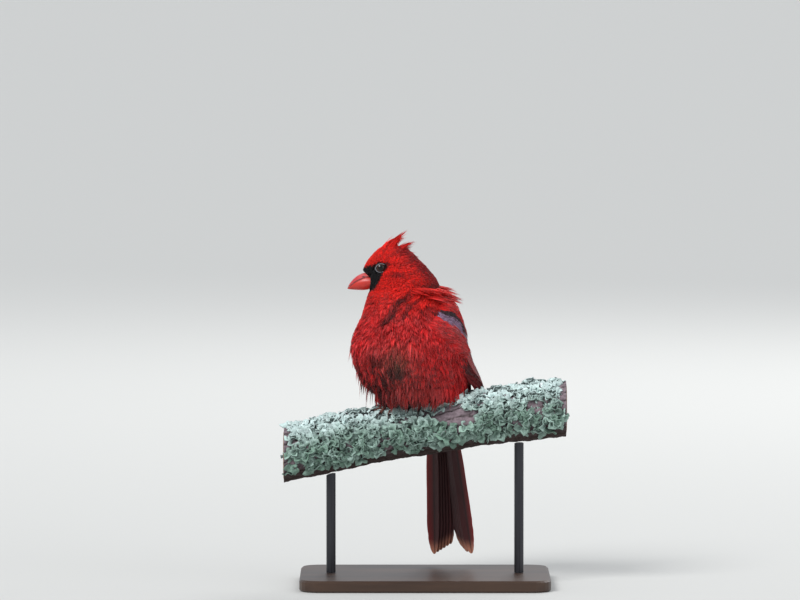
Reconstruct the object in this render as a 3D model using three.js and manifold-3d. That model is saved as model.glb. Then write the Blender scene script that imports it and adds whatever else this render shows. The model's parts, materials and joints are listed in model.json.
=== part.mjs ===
// A life-size northern cardinal, male, fluffed up on a cut length of branch, held by a plain display stand.
// Millimetres, +Z up. The origin is the middle of the underside of the base. The bird looks towards -X with
// its breast turned to -Y, and the branch runs along X.
import * as THREE from 'three';
import { mergeVertices } from 'three/addons/utils/BufferGeometryUtils.js';
import Module from 'manifold-3d';

const wasm = await Module();
wasm.setup();

// Driving dimensions.
const GAP = 0.3; // clearance between touching nodes
const BASE = { length: 170, width: 120, height: 8, corner: 14 };
const ROD = { radius: 3.2, x: 64 };
const BRANCH = { half: 96, radius: 17.5, z: 106.4, rise: 0.165, sag: 0.00036, crust: 3.4 };
const BODY_AXIS = { x: -9, y: 3 }; // upright axis through the trunk
const BODY_HEADING = 235; // degrees from +X, the way the breast faces
const HEAD_HEADING = 180; // the way the bill points
const HEAD_Y = -8;
const EYE = {
  x: -30,
  z: 216.9,
  radius: 4.3,
  depth: 3.3,
  halfLength: 3.5,
  halfHeight: 2.75,
  lid: 0.55,
  tilt: 14,
};
const TAIL = {
  length: 104,
  rootHalf: 7,
  tipHalf: 15.6,
  vaneHalf: 5.9,
  thickness: 0.55,
  layer: 0.86,
  lean: 8,
};
const TAIL_ROOT = { rear: 36.5, z: 119 };
const WING = { primaries: 6, secondaries: 5, greater: 6, median: 5, thickness: 0.55 };

const rad = (degrees) => (degrees * Math.PI) / 180;
const lerp = (a, b, t) => a + (b - a) * t;
const V = (x, y, z) => new THREE.Vector3(x, y, z);

// A small seeded generator, so every build gives the same bird.
function randomFrom(seed) {
  let state = seed;
  return () => {
    state = (state * 1664525 + 1013904223) % 4294967296;
    return state / 4294967296;
  };
}

// Solids and booleans.
function solidOf(geometry) {
  const bare = geometry.index ? geometry.clone() : geometry;
  bare.deleteAttribute('normal');
  bare.deleteAttribute('uv');
  const merged = mergeVertices(bare, 1e-3);
  return new wasm.Manifold(
    new wasm.Mesh({
      numProp: 3,
      vertProperties: new Float32Array(merged.attributes.position.array),
      triVerts: new Uint32Array(merged.index.array),
    }),
  );
}

function geometryOf(solid) {
  const mesh = solid.getMesh();
  const geometry = new THREE.BufferGeometry();
  geometry.setAttribute('position', new THREE.BufferAttribute(mesh.vertProperties, 3));
  geometry.setIndex(new THREE.BufferAttribute(mesh.triVerts, 1));
  return geometry;
}

const union = (solids) => solids.reduce((all, one) => all.add(one));
const largest = (solid) => solid.decompose().reduce((a, b) => (b.volume() > a.volume() ? b : a));

// A closed skin over rings of equal count, turned so that its faces point outwards.
function closedRings(rings) {
  const made = skinOver(rings);
  return made.volume() > 0 ? made : skinOver([...rings].reverse());
}
function skinOver(rings) {
  const count = rings[0].length;
  const points = rings.flat();
  const index = [];
  for (let i = 0; i + 1 < rings.length; i++) {
    for (let j = 0; j < count; j++) {
      const a = i * count + j;
      const b = i * count + ((j + 1) % count);
      index.push(a, b, b + count, a, b + count, a + count);
    }
  }
  const middle = (ring) => ring.reduce((sum, p) => sum.add(p), V(0, 0, 0)).divideScalar(count);
  points.push(middle(rings[0]), middle(rings[rings.length - 1]));
  const last = (rings.length - 1) * count;
  for (let j = 0; j < count; j++) {
    const next = (j + 1) % count;
    index.push(points.length - 2, next, j);
    index.push(points.length - 1, last + j, last + next);
  }
  const geometry = new THREE.BufferGeometry();
  const flat = new Float32Array(points.flatMap((p) => [p.x, p.y, p.z]));
  geometry.setAttribute('position', new THREE.BufferAttribute(flat, 3));
  geometry.setIndex(index);
  return solidOf(geometry);
}

// A smooth curve through the rows of a table, read at any value of the first column.
function readTable(rows, value) {
  const last = rows.length - 1;
  const v = Math.min(Math.max(value, rows[0][0]), rows[last][0]);
  let i = 0;
  while (i < last - 1 && rows[i + 1][0] < v) i++;
  const slope = (k, c) => {
    const lo = Math.max(k - 1, 0);
    const hi = Math.min(k + 1, last);
    return (rows[hi][c] - rows[lo][c]) / (rows[hi][0] - rows[lo][0]);
  };
  const step = rows[i + 1][0] - rows[i][0];
  const t = (v - rows[i][0]) / step;
  return rows[i].map((_, c) => {
    const bend0 = slope(i, c) * step;
    const bend1 = slope(i + 1, c) * step;
    const a = 2 * t ** 3 - 3 * t ** 2 + 1;
    const b = t ** 3 - 2 * t ** 2 + t;
    const d = t ** 3 - t ** 2;
    return a * rows[i][c] + b * bend0 + (1 - a) * rows[i + 1][c] + d * bend1;
  });
}

// A rod-like solid along a path, with a radius at each point.
function tubeAlong(path, radii, sides) {
  const rings = path.map((p, i) => {
    const ahead = path[Math.min(i + 1, path.length - 1)].clone();
    const along = ahead.sub(path[Math.max(i - 1, 0)]).normalize();
    const helper = Math.abs(along.x) < 0.8 ? V(1, 0, 0) : V(0, 1, 0);
    const u = helper.cross(along).normalize();
    const v = along.clone().cross(u);
    return Array.from({ length: sides }, (_, j) => {
      const turn = (2 * Math.PI * j) / sides;
      const out = u.clone().multiplyScalar(Math.cos(turn)).addScaledVector(v, Math.sin(turn));
      return p.clone().addScaledVector(out, radii[i]);
    });
  });
  return closedRings(rings);
}

// A feather: a thin vane with a slight ridge along its shaft, from stations that each give a place, the way
// across, the way out, the half width to each side and the thickness. Both faces split alike.
function vane(stations) {
  const points = [];
  for (const s of stations) {
    const t = s.thickness / 2;
    const edge = t * 0.8;
    const at = (across, out) => s.at.clone().addScaledVector(s.across, across).addScaledVector(s.out, out);
    points.push(at(-s.left, edge), at(0, t * 1.3), at(s.right, edge));
    points.push(at(s.right, -edge), at(0, -t), at(-s.left, -edge));
  }
  const index = [];
  const quad = (a, b, c, d) => index.push(a, b, c, a, c, d);
  const last = (stations.length - 1) * 6;
  for (let k = 0; k < last; k += 6) {
    quad(k, k + 1, k + 7, k + 6);
    quad(k + 1, k + 2, k + 8, k + 7);
    quad(k + 2, k + 3, k + 9, k + 8);
    quad(k + 9, k + 3, k + 4, k + 10);
    quad(k + 10, k + 4, k + 5, k + 11);
    quad(k + 5, k, k + 6, k + 11);
  }
  quad(0, 5, 4, 1);
  quad(1, 4, 3, 2);
  quad(last, last + 1, last + 4, last + 5);
  quad(last + 1, last + 2, last + 3, last + 4);
  const geometry = new THREE.BufferGeometry();
  const flat = new Float32Array(points.flatMap((p) => [p.x, p.y, p.z]));
  geometry.setAttribute('position', new THREE.BufferAttribute(flat, 3));
  geometry.setIndex(index);
  const made = solidOf(geometry);
  if (made.volume() < 0) throw new Error('a feather is inside out');
  return made;
}

// A small feather or a lock: a lens in section, sharp at both edges and at its tip.
function blade(stations) {
  const rings = stations.map((s) => {
    const at = (across, out) => s.at.clone().addScaledVector(s.across, across).addScaledVector(s.out, out);
    return [at(-s.left, 0), at(0, s.thickness * 0.6), at(s.right, 0), at(0, -s.thickness * 0.5)];
  });
  const points = rings.flat();
  const index = [];
  const last = (rings.length - 1) * 4;
  for (let k = 0; k < last; k += 4) {
    index.push(k, k + 1, k + 5, k, k + 5, k + 4);
    index.push(k + 1, k + 2, k + 5, k + 2, k + 6, k + 5);
    index.push(k + 2, k + 3, k + 7, k + 2, k + 7, k + 6);
    index.push(k + 3, k, k + 7, k, k + 4, k + 7);
  }
  index.push(0, 3, 1, 1, 3, 2, last, last + 1, last + 3, last + 1, last + 2, last + 3);
  const geometry = new THREE.BufferGeometry();
  const flat = new Float32Array(points.flatMap((p) => [p.x, p.y, p.z]));
  geometry.setAttribute('position', new THREE.BufferAttribute(flat, 3));
  geometry.setIndex(index);
  const made = solidOf(geometry);
  if (made.volume() < 0) throw new Error('a blade is inside out');
  return made;
}

// How a feather's width and thickness run from root to tip.
const ROUND_TIP = [[0, 0.42], [0.4, 0.97], [0.85, 0.9], [1, 0.25]];
const SHORT_TIP = [[0, 0.5], [0.6, 1], [1, 0.3]];
const POINTED_TIP = [[0, 0.7], [0.3, 1], [0.65, 0.72], [1, 0.1]];

// A feather on a curved sheet: place(s, t, lift) gives a point, and the feather runs from one (s, t) to
// another, rising from one lift to the other, with its outer edge raised by tilt.
function sheetVane(place, from, to, shape) {
  const { half, thickness, tilt, lift, profile = ROUND_TIP, bend = 0, make = vane } = shape;
  const centre = (k) => {
    const side = bend * 4 * k * (1 - k);
    return place(lerp(from[0], to[0], k), lerp(from[1], to[1], k) + side, lerp(lift[0], lift[1], k));
  };
  const stations = profile.map(([k, width]) => {
    const at = centre(k);
    const along = centre(Math.min(k + 0.02, 1)).sub(centre(Math.max(k - 0.02, 0))).normalize();
    const s = lerp(from[0], to[0], k);
    const t = lerp(from[1], to[1], k);
    const level = lerp(lift[0], lift[1], k);
    const out = place(s, t, level + 0.5).sub(place(s, t, level)).normalize();
    const across = out.clone().cross(along).normalize();
    const flat = across.clone().cross(along).negate();
    const turned = across.clone().applyAxisAngle(along, rad(tilt));
    const face = flat.clone().applyAxisAngle(along, rad(tilt));
    const thin = k > 0.95 ? 0.6 : 1;
    const side = half * width;
    return { at, across: turned, out: face, left: side, right: side, thickness: thickness * thin };
  });
  return make(orderedStations(stations));
}

// Turns a feather's stations so that its faces point outwards.
function orderedStations(stations) {
  const along = stations[1].at.clone().sub(stations[0].at);
  const turn = stations[0].across.clone().cross(stations[0].out).dot(along);
  if (turn < 0) return stations;
  return stations.map((s) => ({ ...s, across: s.across.clone().negate(), left: s.right, right: s.left }));
}

// The trunk, neck and head as level rings: height, centre forward along the heading of the trunk, half depth
// along the heading, half width across it.
const TRUNK_ROWS = [
  [128.2, -9, 7, 6],
  [129, -9, 18, 15],
  [130.4, -8.8, 27, 22.5],
  [133.2, -8, 34, 29.5],
  [137, -6.5, 38.5, 34],
  [143, -4.2, 40.2, 35.4],
  [152, 0, 41, 36.4],
  [163, 3, 40, 37],
  [171, 2.8, 37.8, 35.5],
  [180, 1.5, 34.5, 32],
  [190, 2, 31.5, 29.2],
  [197, 4, 29, 26],
];
// Above the trunk: height, face end in x, nape end in x, centre in y, half width, heading, narrowing to the face.
const HEAD_ROWS = [
  [203, -37.4, 9.9, -4.6, 21, 208, 0.12],
  [207, -38.8, 8, -6.4, 18.2, 194, 0.24],
  [210.5, -40.4, 5.9, -7.6, 16.2, 186, 0.33],
  [214, -41.8, 2.6, HEAD_Y, 15, HEAD_HEADING, 0.37],
  [217, -41, 0.4, HEAD_Y, 14.3, HEAD_HEADING, 0.36],
  [221, -38.9, -4, HEAD_Y, 12.8, HEAD_HEADING, 0.3],
  [225, -35.7, -7.5, HEAD_Y, 10.8, HEAD_HEADING, 0.24],
  [228, -32.8, -11, HEAD_Y, 8.4, HEAD_HEADING, 0.18],
  [230.4, -29.5, -14.8, HEAD_Y, 5.6, HEAD_HEADING, 0.1],
  [231.8, -26, -18, HEAD_Y, 3, HEAD_HEADING, 0],
];

// Every ring as [height, centre x, centre y, half depth, half width, heading, narrowing].
const heading = rad(BODY_HEADING);
const RINGS = [
  ...TRUNK_ROWS.map(([z, forward, depth, width]) => [
    z,
    BODY_AXIS.x + forward * Math.cos(heading),
    BODY_AXIS.y + forward * Math.sin(heading),
    depth,
    width,
    BODY_HEADING,
    0,
  ]),
  ...HEAD_ROWS.map(([z, face, nape, y, width, turn, narrow]) => [
    z, (face + nape) / 2, y, (nape - face) / 2, width, turn, narrow,
  ]),
];

// A point of the bird's outline at a height and an angle from the heading, positive to the bird's left.
function bodyPoint(z, angle, grow = 0) {
  const [, x, y, depth, width, turn, narrow] = readTable(RINGS, z);
  const ahead = rad(turn);
  const c = Math.cos(rad(angle));
  const s = Math.sin(rad(angle));
  const forward = (depth + grow) * c;
  const side = (width + grow) * s * (1 - narrow * c);
  return V(
    x + forward * Math.cos(ahead) - side * Math.sin(ahead),
    y + forward * Math.sin(ahead) + side * Math.cos(ahead),
    z,
  );
}

const BODY_SIDES = 32;
function bodySolid(grow) {
  const low = RINGS[0][0];
  const high = RINGS[RINGS.length - 1][0];
  const steps = 30;
  const rings = [];
  for (let i = 0; i <= steps; i++) {
    const k = i / steps;
    const eased = 0.5 - 0.5 * Math.cos(Math.PI * k);
    const z = lerp(low, high, lerp(k, eased, 0.55));
    const shift = grow * (2 * k - 1);
    const ring = [];
    for (let j = 0; j < BODY_SIDES; j++) {
      ring.push(bodyPoint(z, (360 * j) / BODY_SIDES, grow).add(V(0, 0, shift)));
    }
    rings.push(ring);
  }
  return closedRings(rings);
}

// The branch, thicker where lichen crusts it, bare where the bark shows.
const branchMiddle = (x) => BRANCH.z + BRANCH.rise * x - BRANCH.sag * x * x;
function crustAt(x, angle) {
  const lobes = Math.sin(x * 0.47 + 2.1 * Math.sin(angle * 2)) * Math.sin(angle * 4 + x * 0.21);
  const bare = Math.exp(-(((x - 4) / 15) ** 2) - ((angle - 1.25) / 0.6) ** 2);
  const worn = Math.exp(-(((x + 8) / 22) ** 2) - ((angle + 0.1) / 0.55) ** 2);
  const under = 0.5 + 0.5 * Math.cos(angle - 0.5);
  return BRANCH.crust * (0.35 + 0.65 * under) * (0.8 + 0.3 * lobes) * (1 - bare) * (1 - 0.92 * worn);
}
function branchPoint(x, angle, grow) {
  const r = BRANCH.radius * (1 + 0.02 * Math.sin(x * 0.09 + 1)) + crustAt(x, angle) + grow;
  return V(x, -r * Math.sin(angle), branchMiddle(x) + r * Math.cos(angle));
}
function branchSolid(grow) {
  const rings = [];
  const steps = 27;
  const sides = 20;
  const half = BRANCH.half + grow;
  for (let i = 0; i <= steps; i++) {
    const x = lerp(-half, half, i / steps);
    const ring = [];
    for (let j = 0; j < sides; j++) ring.push(branchPoint(x, (-2 * Math.PI * j) / sides, grow));
    rings.push(ring);
  }
  return closedRings(rings);
}

// Everything above or below a tilted plane that runs from the bill side to the nape side.
function sideOf(frontX, frontZ, backX, backZ, above) {
  const tilt = Math.atan2(backZ - frontZ, backX - frontX);
  const size = 300;
  const block = new THREE.BoxGeometry(size, size, size);
  block.translate(0, 0, above ? size / 2 + GAP / 2 : -size / 2 - GAP / 2);
  block.rotateY(-tilt);
  block.translate((frontX + backX) / 2, 0, (frontZ + backZ) / 2);
  return solidOf(block);
}
const NECK_TOP = [-39, 199.4, 9, 209];
const NECK_FOOT = [-40, 190, 12, 200.5];

// The bill: rings along x with the culmen above and the gonys below.
const BILL_ROWS = [
  [-52.6, 202.75, 202.25, 0.25],
  [-52.1, 204.1, 202.1, 1.1],
  [-51, 206, 201.9, 2],
  [-49, 208.5, 201.7, 3.2],
  [-46.5, 210.7, 201.5, 4.5],
  [-44, 212.2, 201.4, 5.5],
  [-41.5, 213.1, 201.4, 6.3],
  [-38.5, 213.2, 201.9, 6.9],
  [-35.4, 212.4, 203.4, 7.1],
];
const MOUTH_LINE = [
  [-54, 202.3],
  [-51, 204.3],
  [-47.4, 207.1],
  [-42.5, 209.6],
  [-38.6, 210.7],
  [-33, 208.8],
];
function billSolid() {
  const rings = [];
  const steps = 10;
  for (let i = 0; i <= steps; i++) {
    const x = lerp(BILL_ROWS[0][0], BILL_ROWS[BILL_ROWS.length - 1][0], (i / steps) ** 1.25);
    const [, top, foot, half] = readTable(BILL_ROWS, x);
    const ring = [];
    for (let j = 0; j < 14; j++) {
      const turn = (2 * Math.PI * j) / 14;
      const up = Math.cos(turn);
      const side = Math.sin(turn) * (1 - 0.22 * Math.max(up, 0));
      ring.push(V(x, HEAD_Y - half * side, (top + foot) / 2 + ((top - foot) / 2) * up));
    }
    rings.push(ring);
  }
  return closedRings(rings);
}
// The gap along the line of the mouth.
function mouthGap() {
  const outline = new THREE.Shape();
  MOUTH_LINE.forEach(([x, z], i) => (i ? outline.lineTo(x, z) : outline.moveTo(x, z)));
  [...MOUTH_LINE].reverse().forEach(([x, z]) => outline.lineTo(x, z + GAP));
  const sheet = new THREE.ExtrudeGeometry(outline, { depth: 30, bevelEnabled: false, steps: 1 });
  sheet.rotateX(Math.PI / 2);
  sheet.translate(0, HEAD_Y + 15, 0);
  return solidOf(sheet);
}
function nostril(side) {
  const pit = new THREE.SphereGeometry(1, 8, 6);
  pit.scale(0.75, 1, 0.5);
  pit.rotateY(rad(-30));
  pit.translate(-42.9, HEAD_Y - side * 4.5, 211);
  return solidOf(pit);
}

// An eye: where its middle is, and the ball, lid and opening round it.
function eyeMiddle(side) {
  const angle = side > 0 ? 62 : -62;
  const skin = bodyPoint(EYE.z, angle);
  return V(EYE.x, skin.y + side * EYE.depth, EYE.z);
}
function ball(radius, middle, across, down) {
  const sphere = new THREE.SphereGeometry(radius, across, down);
  sphere.rotateX(Math.PI / 2);
  sphere.translate(middle.x, middle.y, middle.z);
  return solidOf(sphere);
}
function eyeOpening(side) {
  const hole = new THREE.CylinderGeometry(1, 1, 12, 20);
  hole.scale(EYE.halfLength, 1, EYE.halfHeight);
  hole.rotateY(rad(-EYE.tilt));
  const middle = eyeMiddle(side);
  hole.translate(middle.x, middle.y - side * 6, middle.z);
  return solidOf(hole);
}

// The crest: its feathers from root to tip along the side view, with how far out they stand to each side.
const CREST = [
  { root: [-37.5, 220.5], tip: [-22.5, 234.5], side: 0, spread: 0, half: 3.2 },
  { root: [-35, 223.5], tip: [-17.5, 238], side: 1.6, spread: 0.8, half: 3 },
  { root: [-32, 225.5], tip: [-13.2, 240.3], side: 0, spread: 0, half: 2.8 },
  { root: [-31, 224.5], tip: [-11.6, 240.8], side: 2.8, spread: 0.5, half: 2.8 },
  { root: [-28, 227], tip: [-15.6, 237.6], side: 3.6, spread: 1.6, half: 3 },
  { root: [-24, 227], tip: [-6.4, 233.4], side: 3, spread: 1.8, half: 2.6 },
  { root: [-22, 225.5], tip: [-8.8, 231.6], side: 5, spread: 3.4, half: 3 },
  { root: [-20, 226.5], tip: [-7.6, 229.8], side: 0, spread: 0, half: 3.2 },
  { root: [-18, 223.5], tip: [-6.6, 226.3], side: 5, spread: 3.6, half: 3.2 },
  { root: [-16, 222], tip: [-3, 223.2], side: 2.2, spread: 1.6, half: 3.4 },
];
function crestFeather(row, side) {
  const lengthX = row.tip[0] - row.root[0];
  const lengthZ = row.tip[1] - row.root[1];
  const along = V(lengthX, side * (row.spread - row.side) * -1, lengthZ).normalize();
  const roll = side === 0 ? 0 : side * Math.min(68, 30 + 9 * row.side);
  const across = V(0, 1, 0).applyAxisAngle(V(lengthX, 0, lengthZ).normalize(), rad(roll));
  const out = across.clone().cross(along).normalize();
  const stations = POINTED_TIP.map(([k, width]) => {
    const bow = 1.6 * 4 * k * (1 - k);
    const normal = V(-lengthZ, 0, lengthX).normalize();
    const at = V(
      lerp(row.root[0], row.tip[0], k),
      HEAD_Y - side * lerp(row.side, row.spread, k),
      lerp(row.root[1], row.tip[1], k),
    ).addScaledVector(normal, bow);
    const half = row.half * width;
    return { at, across, out, left: half, right: half, thickness: k < 0.9 ? 1 : 0.5 };
  });
  return blade(orderedStations(stations));
}

// The wing's sheet: an outline that leaves the rump and hangs beside the tail.
const WING_ROWS = [
  [100, -12, 35, 40, 3],
  [112, -11, 36, 40, 3],
  [122, -10.5, 36.5, 41, 3],
  [133, -9, 37, 42, 3],
  [143, -5, 41, 39.5, 2.5],
  [152, -0.5, 42.3, 38, 2.2],
  [163, 2.8, 41, 38.2, 2],
  [171, 2.7, 38.6, 36.6, 2],
  [180, 1.5, 35.3, 33, 2],
  [190, 2, 32, 29.8, 2],
  [199, 4.5, 28, 25.5, 2],
];
// Both edges of the folded wing from bend to tip: share of the length, angle from the heading, height.
const LEADING_EDGE = [
  [0, 57, 181],
  [0.2, 80, 175.5],
  [0.42, 106, 163],
  [0.62, 121, 147],
  [0.82, 131, 130],
  [1, 142, 113],
];
const REAR_EDGE = [
  [0, 72, 190],
  [0.2, 106, 189],
  [0.42, 136, 176],
  [0.62, 151, 156],
  [0.82, 160, 134],
  [1, 161, 114],
];
function wingPlace(side) {
  return (s, t, lift) => {
    const front = readTable(LEADING_EDGE, s);
    const rear = readTable(REAR_EDGE, s);
    const angle = rad(lerp(front[1], rear[1], t));
    const z = lerp(front[2], rear[2], t);
    const [, forward, depth, width, power] = readTable(WING_ROWS, z);
    const c = Math.cos(angle);
    const si = Math.sin(angle);
    const ahead = Math.abs(c / (depth + lift)) ** power;
    const aside = Math.abs(si / (width + lift)) ** power;
    const r = (ahead + aside) ** (-1 / power);
    const h = forward + r * c;
    const l = side * r * si;
    return V(
      BODY_AXIS.x + h * Math.cos(heading) - l * Math.sin(heading),
      BODY_AXIS.y + h * Math.sin(heading) + l * Math.cos(heading),
      z,
    );
  };
}
// A slab between two lifts of a sheet.
function sheetSlab(place, s0, s1, t0, t1, low, high, long, wide) {
  const rings = [];
  const taper = (k) => Math.sqrt(Math.max(0, 1 - (2 * k - 1) ** 4));
  for (let i = 0; i <= long; i++) {
    const k = i / long;
    const s = lerp(s0, s1, k);
    const inset = ((t1 - t0) / 2) * (1 - 0.25 - 0.75 * taper(lerp(0.02, 0.98, k)));
    const ring = [];
    for (let j = 0; j <= wide; j++) ring.push(place(s, lerp(t0 + inset, t1 - inset, j / wide), low));
    for (let j = wide; j >= 0; j--) ring.push(place(s, lerp(t0 + inset, t1 - inset, j / wide), high));
    rings.push(ring);
  }
  return closedRings(rings);
}

function wingSolid(side) {
  const place = wingPlace(side);
  const random = randomFrom(side > 0 ? 11 : 12);
  const pieces = [sheetSlab(place, 0.02, 0.5, 0.05, 0.95, -0.9, 1.2, 8, 4)];
  const { primaries, secondaries, greater, median, thickness } = WING;
  for (let i = 0; i < primaries; i++) {
    const k = i / (primaries - 1);
    const from = [0.43, lerp(0.16, 0.42, k)];
    const to = [lerp(0.86, 1, Math.sin(Math.PI * (0.2 + 0.62 * k))), lerp(0.06, 0.52, k)];
    const shape = { half: 4.4, thickness, tilt: side * 18, lift: [0.05 + 0.06 * i, 0.3 + 0.42 * i] };
    pieces.push(sheetVane(place, from, to, shape));
  }
  for (let i = 0; i < secondaries; i++) {
    const k = i / (secondaries - 1);
    const from = [0.36, lerp(0.48, 0.82, k)];
    const to = [lerp(0.8, 0.62, k) + 0.02 * random(), lerp(0.5, 0.86, k)];
    const lift = [0.1 + 0.06 * i, 2.9 + 0.2 * i];
    const shape = { half: 5, thickness: 1, tilt: side * 14, lift, make: blade };
    pieces.push(sheetVane(place, from, to, shape));
  }
  for (let i = 0; i < greater; i++) {
    const k = i / (greater - 1);
    const from = [0.2, lerp(0.12, 0.86, k)];
    const to = [lerp(0.5, 0.47, k) + 0.02 * random(), lerp(0.1, 0.85, k)];
    const lift = [0.5, 3.2 + 0.1 * i];
    const shape = { half: 3.9, thickness: 1, tilt: side * 10, lift, profile: SHORT_TIP, make: blade };
    pieces.push(sheetVane(place, from, to, shape));
  }
  for (let i = 0; i < median; i++) {
    const k = i / (median - 1);
    const from = [0.07, lerp(0.16, 0.84, k)];
    const to = [0.3 + 0.02 * random(), lerp(0.12, 0.85, k)];
    const lift = [0.5, 3.8 + 0.1 * i];
    const shape = { half: 4.1, thickness: 1, tilt: side * 10, lift, profile: SHORT_TIP, make: blade };
    pieces.push(sheetVane(place, from, to, shape));
  }
  return union(pieces);
}

// The tail hangs behind the branch. Its sheet: share of the length, sideways in mm, lift towards the rear.
function tailPlace(s, sideways, lift) {
  const drop = TAIL.length * s;
  const rear = TAIL_ROOT.rear + drop * Math.sin(rad(TAIL.lean)) + lift * Math.cos(rad(TAIL.lean));
  const z = TAIL_ROOT.z - drop * Math.cos(rad(TAIL.lean)) + lift * Math.sin(rad(TAIL.lean));
  return V(
    BODY_AXIS.x - rear * Math.cos(heading) - sideways * Math.sin(heading),
    BODY_AXIS.y - rear * Math.sin(heading) + sideways * Math.cos(heading),
    z,
  );
}
function tailSolid() {
  const pieces = [];
  const pairs = 6;
  for (let i = 0; i < pairs; i++) {
    for (const side of [1, -1]) {
      const k = i / (pairs - 1);
      const level = 4.4 - (side > 0 ? 0 : 0.43) * (i === 0 ? 2 : 0) - TAIL.layer * (i + (i > 0 ? 1 : 0));
      const tip = lerp(0.935, 1, k) - (side > 0 && i > 3 ? 0.02 : 0);
      const from = [-0.03, side * lerp(2, TAIL.rootHalf, k)];
      const to = [tip, side * lerp(4.4, TAIL.tipHalf, k)];
      const lift = [level * 0.8, level];
      const shape = { half: TAIL.vaneHalf, thickness: TAIL.thickness, tilt: 0, lift };
      pieces.push(sheetVane(tailPlace, from, to, shape));
    }
  }
  const root = [];
  for (let i = 0; i <= 6; i++) {
    const k = i / 6;
    const ring = [];
    for (let j = 0; j < 16; j++) {
      const turn = (2 * Math.PI * j) / 16;
      const swell = lerp(1, 0.5, k);
      ring.push(tailPlace(lerp(-0.13, 0.14, k), 12.5 * swell * Math.cos(turn), 6.5 * swell * Math.sin(turn)));
    }
    root.push(ring);
  }
  pieces.push(closedRings(root));
  for (let i = 0; i < 4; i++) {
    const k = i / 3;
    const reach = 0.3 - 0.1 * Math.abs(2 * k - 1);
    const covert = { half: 4.2, thickness: 1, tilt: 0, profile: POINTED_TIP, make: blade };
    const upper = { ...covert, lift: [2.5, 5.6 - 0.5 * (i % 2)] };
    const under = { ...covert, lift: [-2.5, -3.4 + 0.6 * (i % 2)] };
    pieces.push(sheetVane(tailPlace, [-0.06, lerp(-7, 7, k)], [reach, lerp(-9.5, 9.5, k)], upper));
    pieces.push(sheetVane(tailPlace, [-0.06, lerp(-7, 7, k)], [reach * 0.9, lerp(-9.5, 9.5, k)], under));
  }
  return union(pieces);
}
// A block round the whole tail that the wings keep out of.
function tailKeepOut() {
  const rings = [];
  for (let i = 0; i <= 2; i++) {
    const k = lerp(-0.08, 0.6, i / 2);
    const half = lerp(13.5, 16, i / 2);
    const sides = [[-1, -5], [1, -5], [1, 6.6], [-1, 6.6]];
    rings.push(sides.map(([x, lift]) => tailPlace(k, x * half, lift)));
  }
  return closedRings(rings);
}

// Locks of the loose coat on the trunk: rows along the lie, from a height and an angle on the outline down to
// another, with tips that stand a little off. Each row says how many, from which angle to which, the
// height of root and tip, how far the tips stand off and the half width.
const LOCK_ROWS = [
  { count: 8, from: -62, to: 48, root: 174, tip: 155.5, lift: 1.5, half: 5.2, seed: 3 },
  { count: 9, from: -88, to: 88, root: 154, tip: 134.5, lift: 1.2, half: 5, seed: 4 },
];
function lockRow(row) {
  const random = randomFrom(row.seed);
  const place = (s, angle, lift) => bodyPoint(lerp(row.root, row.tip, s), angle, lift);
  return Array.from({ length: row.count }, (_, i) => {
    const angle = lerp(row.from, row.to, (i + 0.6 * (random() - 0.5)) / (row.count - 1));
    const reach = lerp(0.82, 1.05, random());
    const shape = {
      half: row.half * lerp(0.85, 1.1, random()), thickness: 1.3, tilt: 8 * (random() - 0.5),
      lift: [-1.6, row.lift * lerp(0.6, 1.2, random())], profile: POINTED_TIP, make: blade,
    };
    return sheetVane(place, [0, angle], [reach, angle + 5 * (random() - 0.5)], shape);
  });
}
// The loose feathers of the shoulder, which stand out over the wing: side, angle, height and reach of each.
const SHOULDER = { count: 6, from: 78, to: 150, z: 199, reach: 16, half: 3.8 };
function shoulderFeathers(side) {
  const random = randomFrom(side > 0 ? 7 : 8);
  const raised = side > 0 ? 1 : 0.4;
  return Array.from({ length: SHOULDER.count }, (_, i) => {
    const angle = side * lerp(SHOULDER.from, SHOULDER.to, i / (SHOULDER.count - 1));
    const z = SHOULDER.z - 4 * random();
    const root = bodyPoint(z, angle, -2.2);
    const outward = bodyPoint(z, angle + side * 12, 8).sub(bodyPoint(z, angle, 0)).normalize();
    const fall = V(0, 0, -1).addScaledVector(outward, 0.3);
    const along = outward.clone().multiplyScalar(raised).addScaledVector(fall, 1.25 - raised).normalize();
    const reach = SHOULDER.reach * lerp(0.8, 1.1, random()) * lerp(0.45, 1, raised);
    const across = along.clone().cross(V(0, 0, 1).addScaledVector(outward, 0.6)).normalize();
    const out = across.clone().cross(along).normalize();
    const stations = POINTED_TIP.map(([k, width]) => {
      const droop = -2.4 * k * k * raised;
      const at = root.clone().addScaledVector(along, reach * k).add(V(0, 0, droop));
      return { at, across, out, left: SHOULDER.half * width, right: SHOULDER.half * width, thickness: 1.1 };
    });
    return blade(orderedStations(stations));
  });
}

// Legs and feet: each leg comes out of the belly and its toes lie over the branch.
const LEG = { side: 12.5, forward: 4, radius: 1.5, length: 15 };
const TOE = { radius: 1.25, forwardAngles: [-24, 0, 24], reach: 15.5, hindReach: 12, claw: 5 };
function footMiddle(side) {
  const x = BODY_AXIS.x + LEG.forward * Math.cos(heading) - side * LEG.side * Math.sin(heading);
  return V(x, 0, branchMiddle(x) + BRANCH.radius);
}
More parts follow.
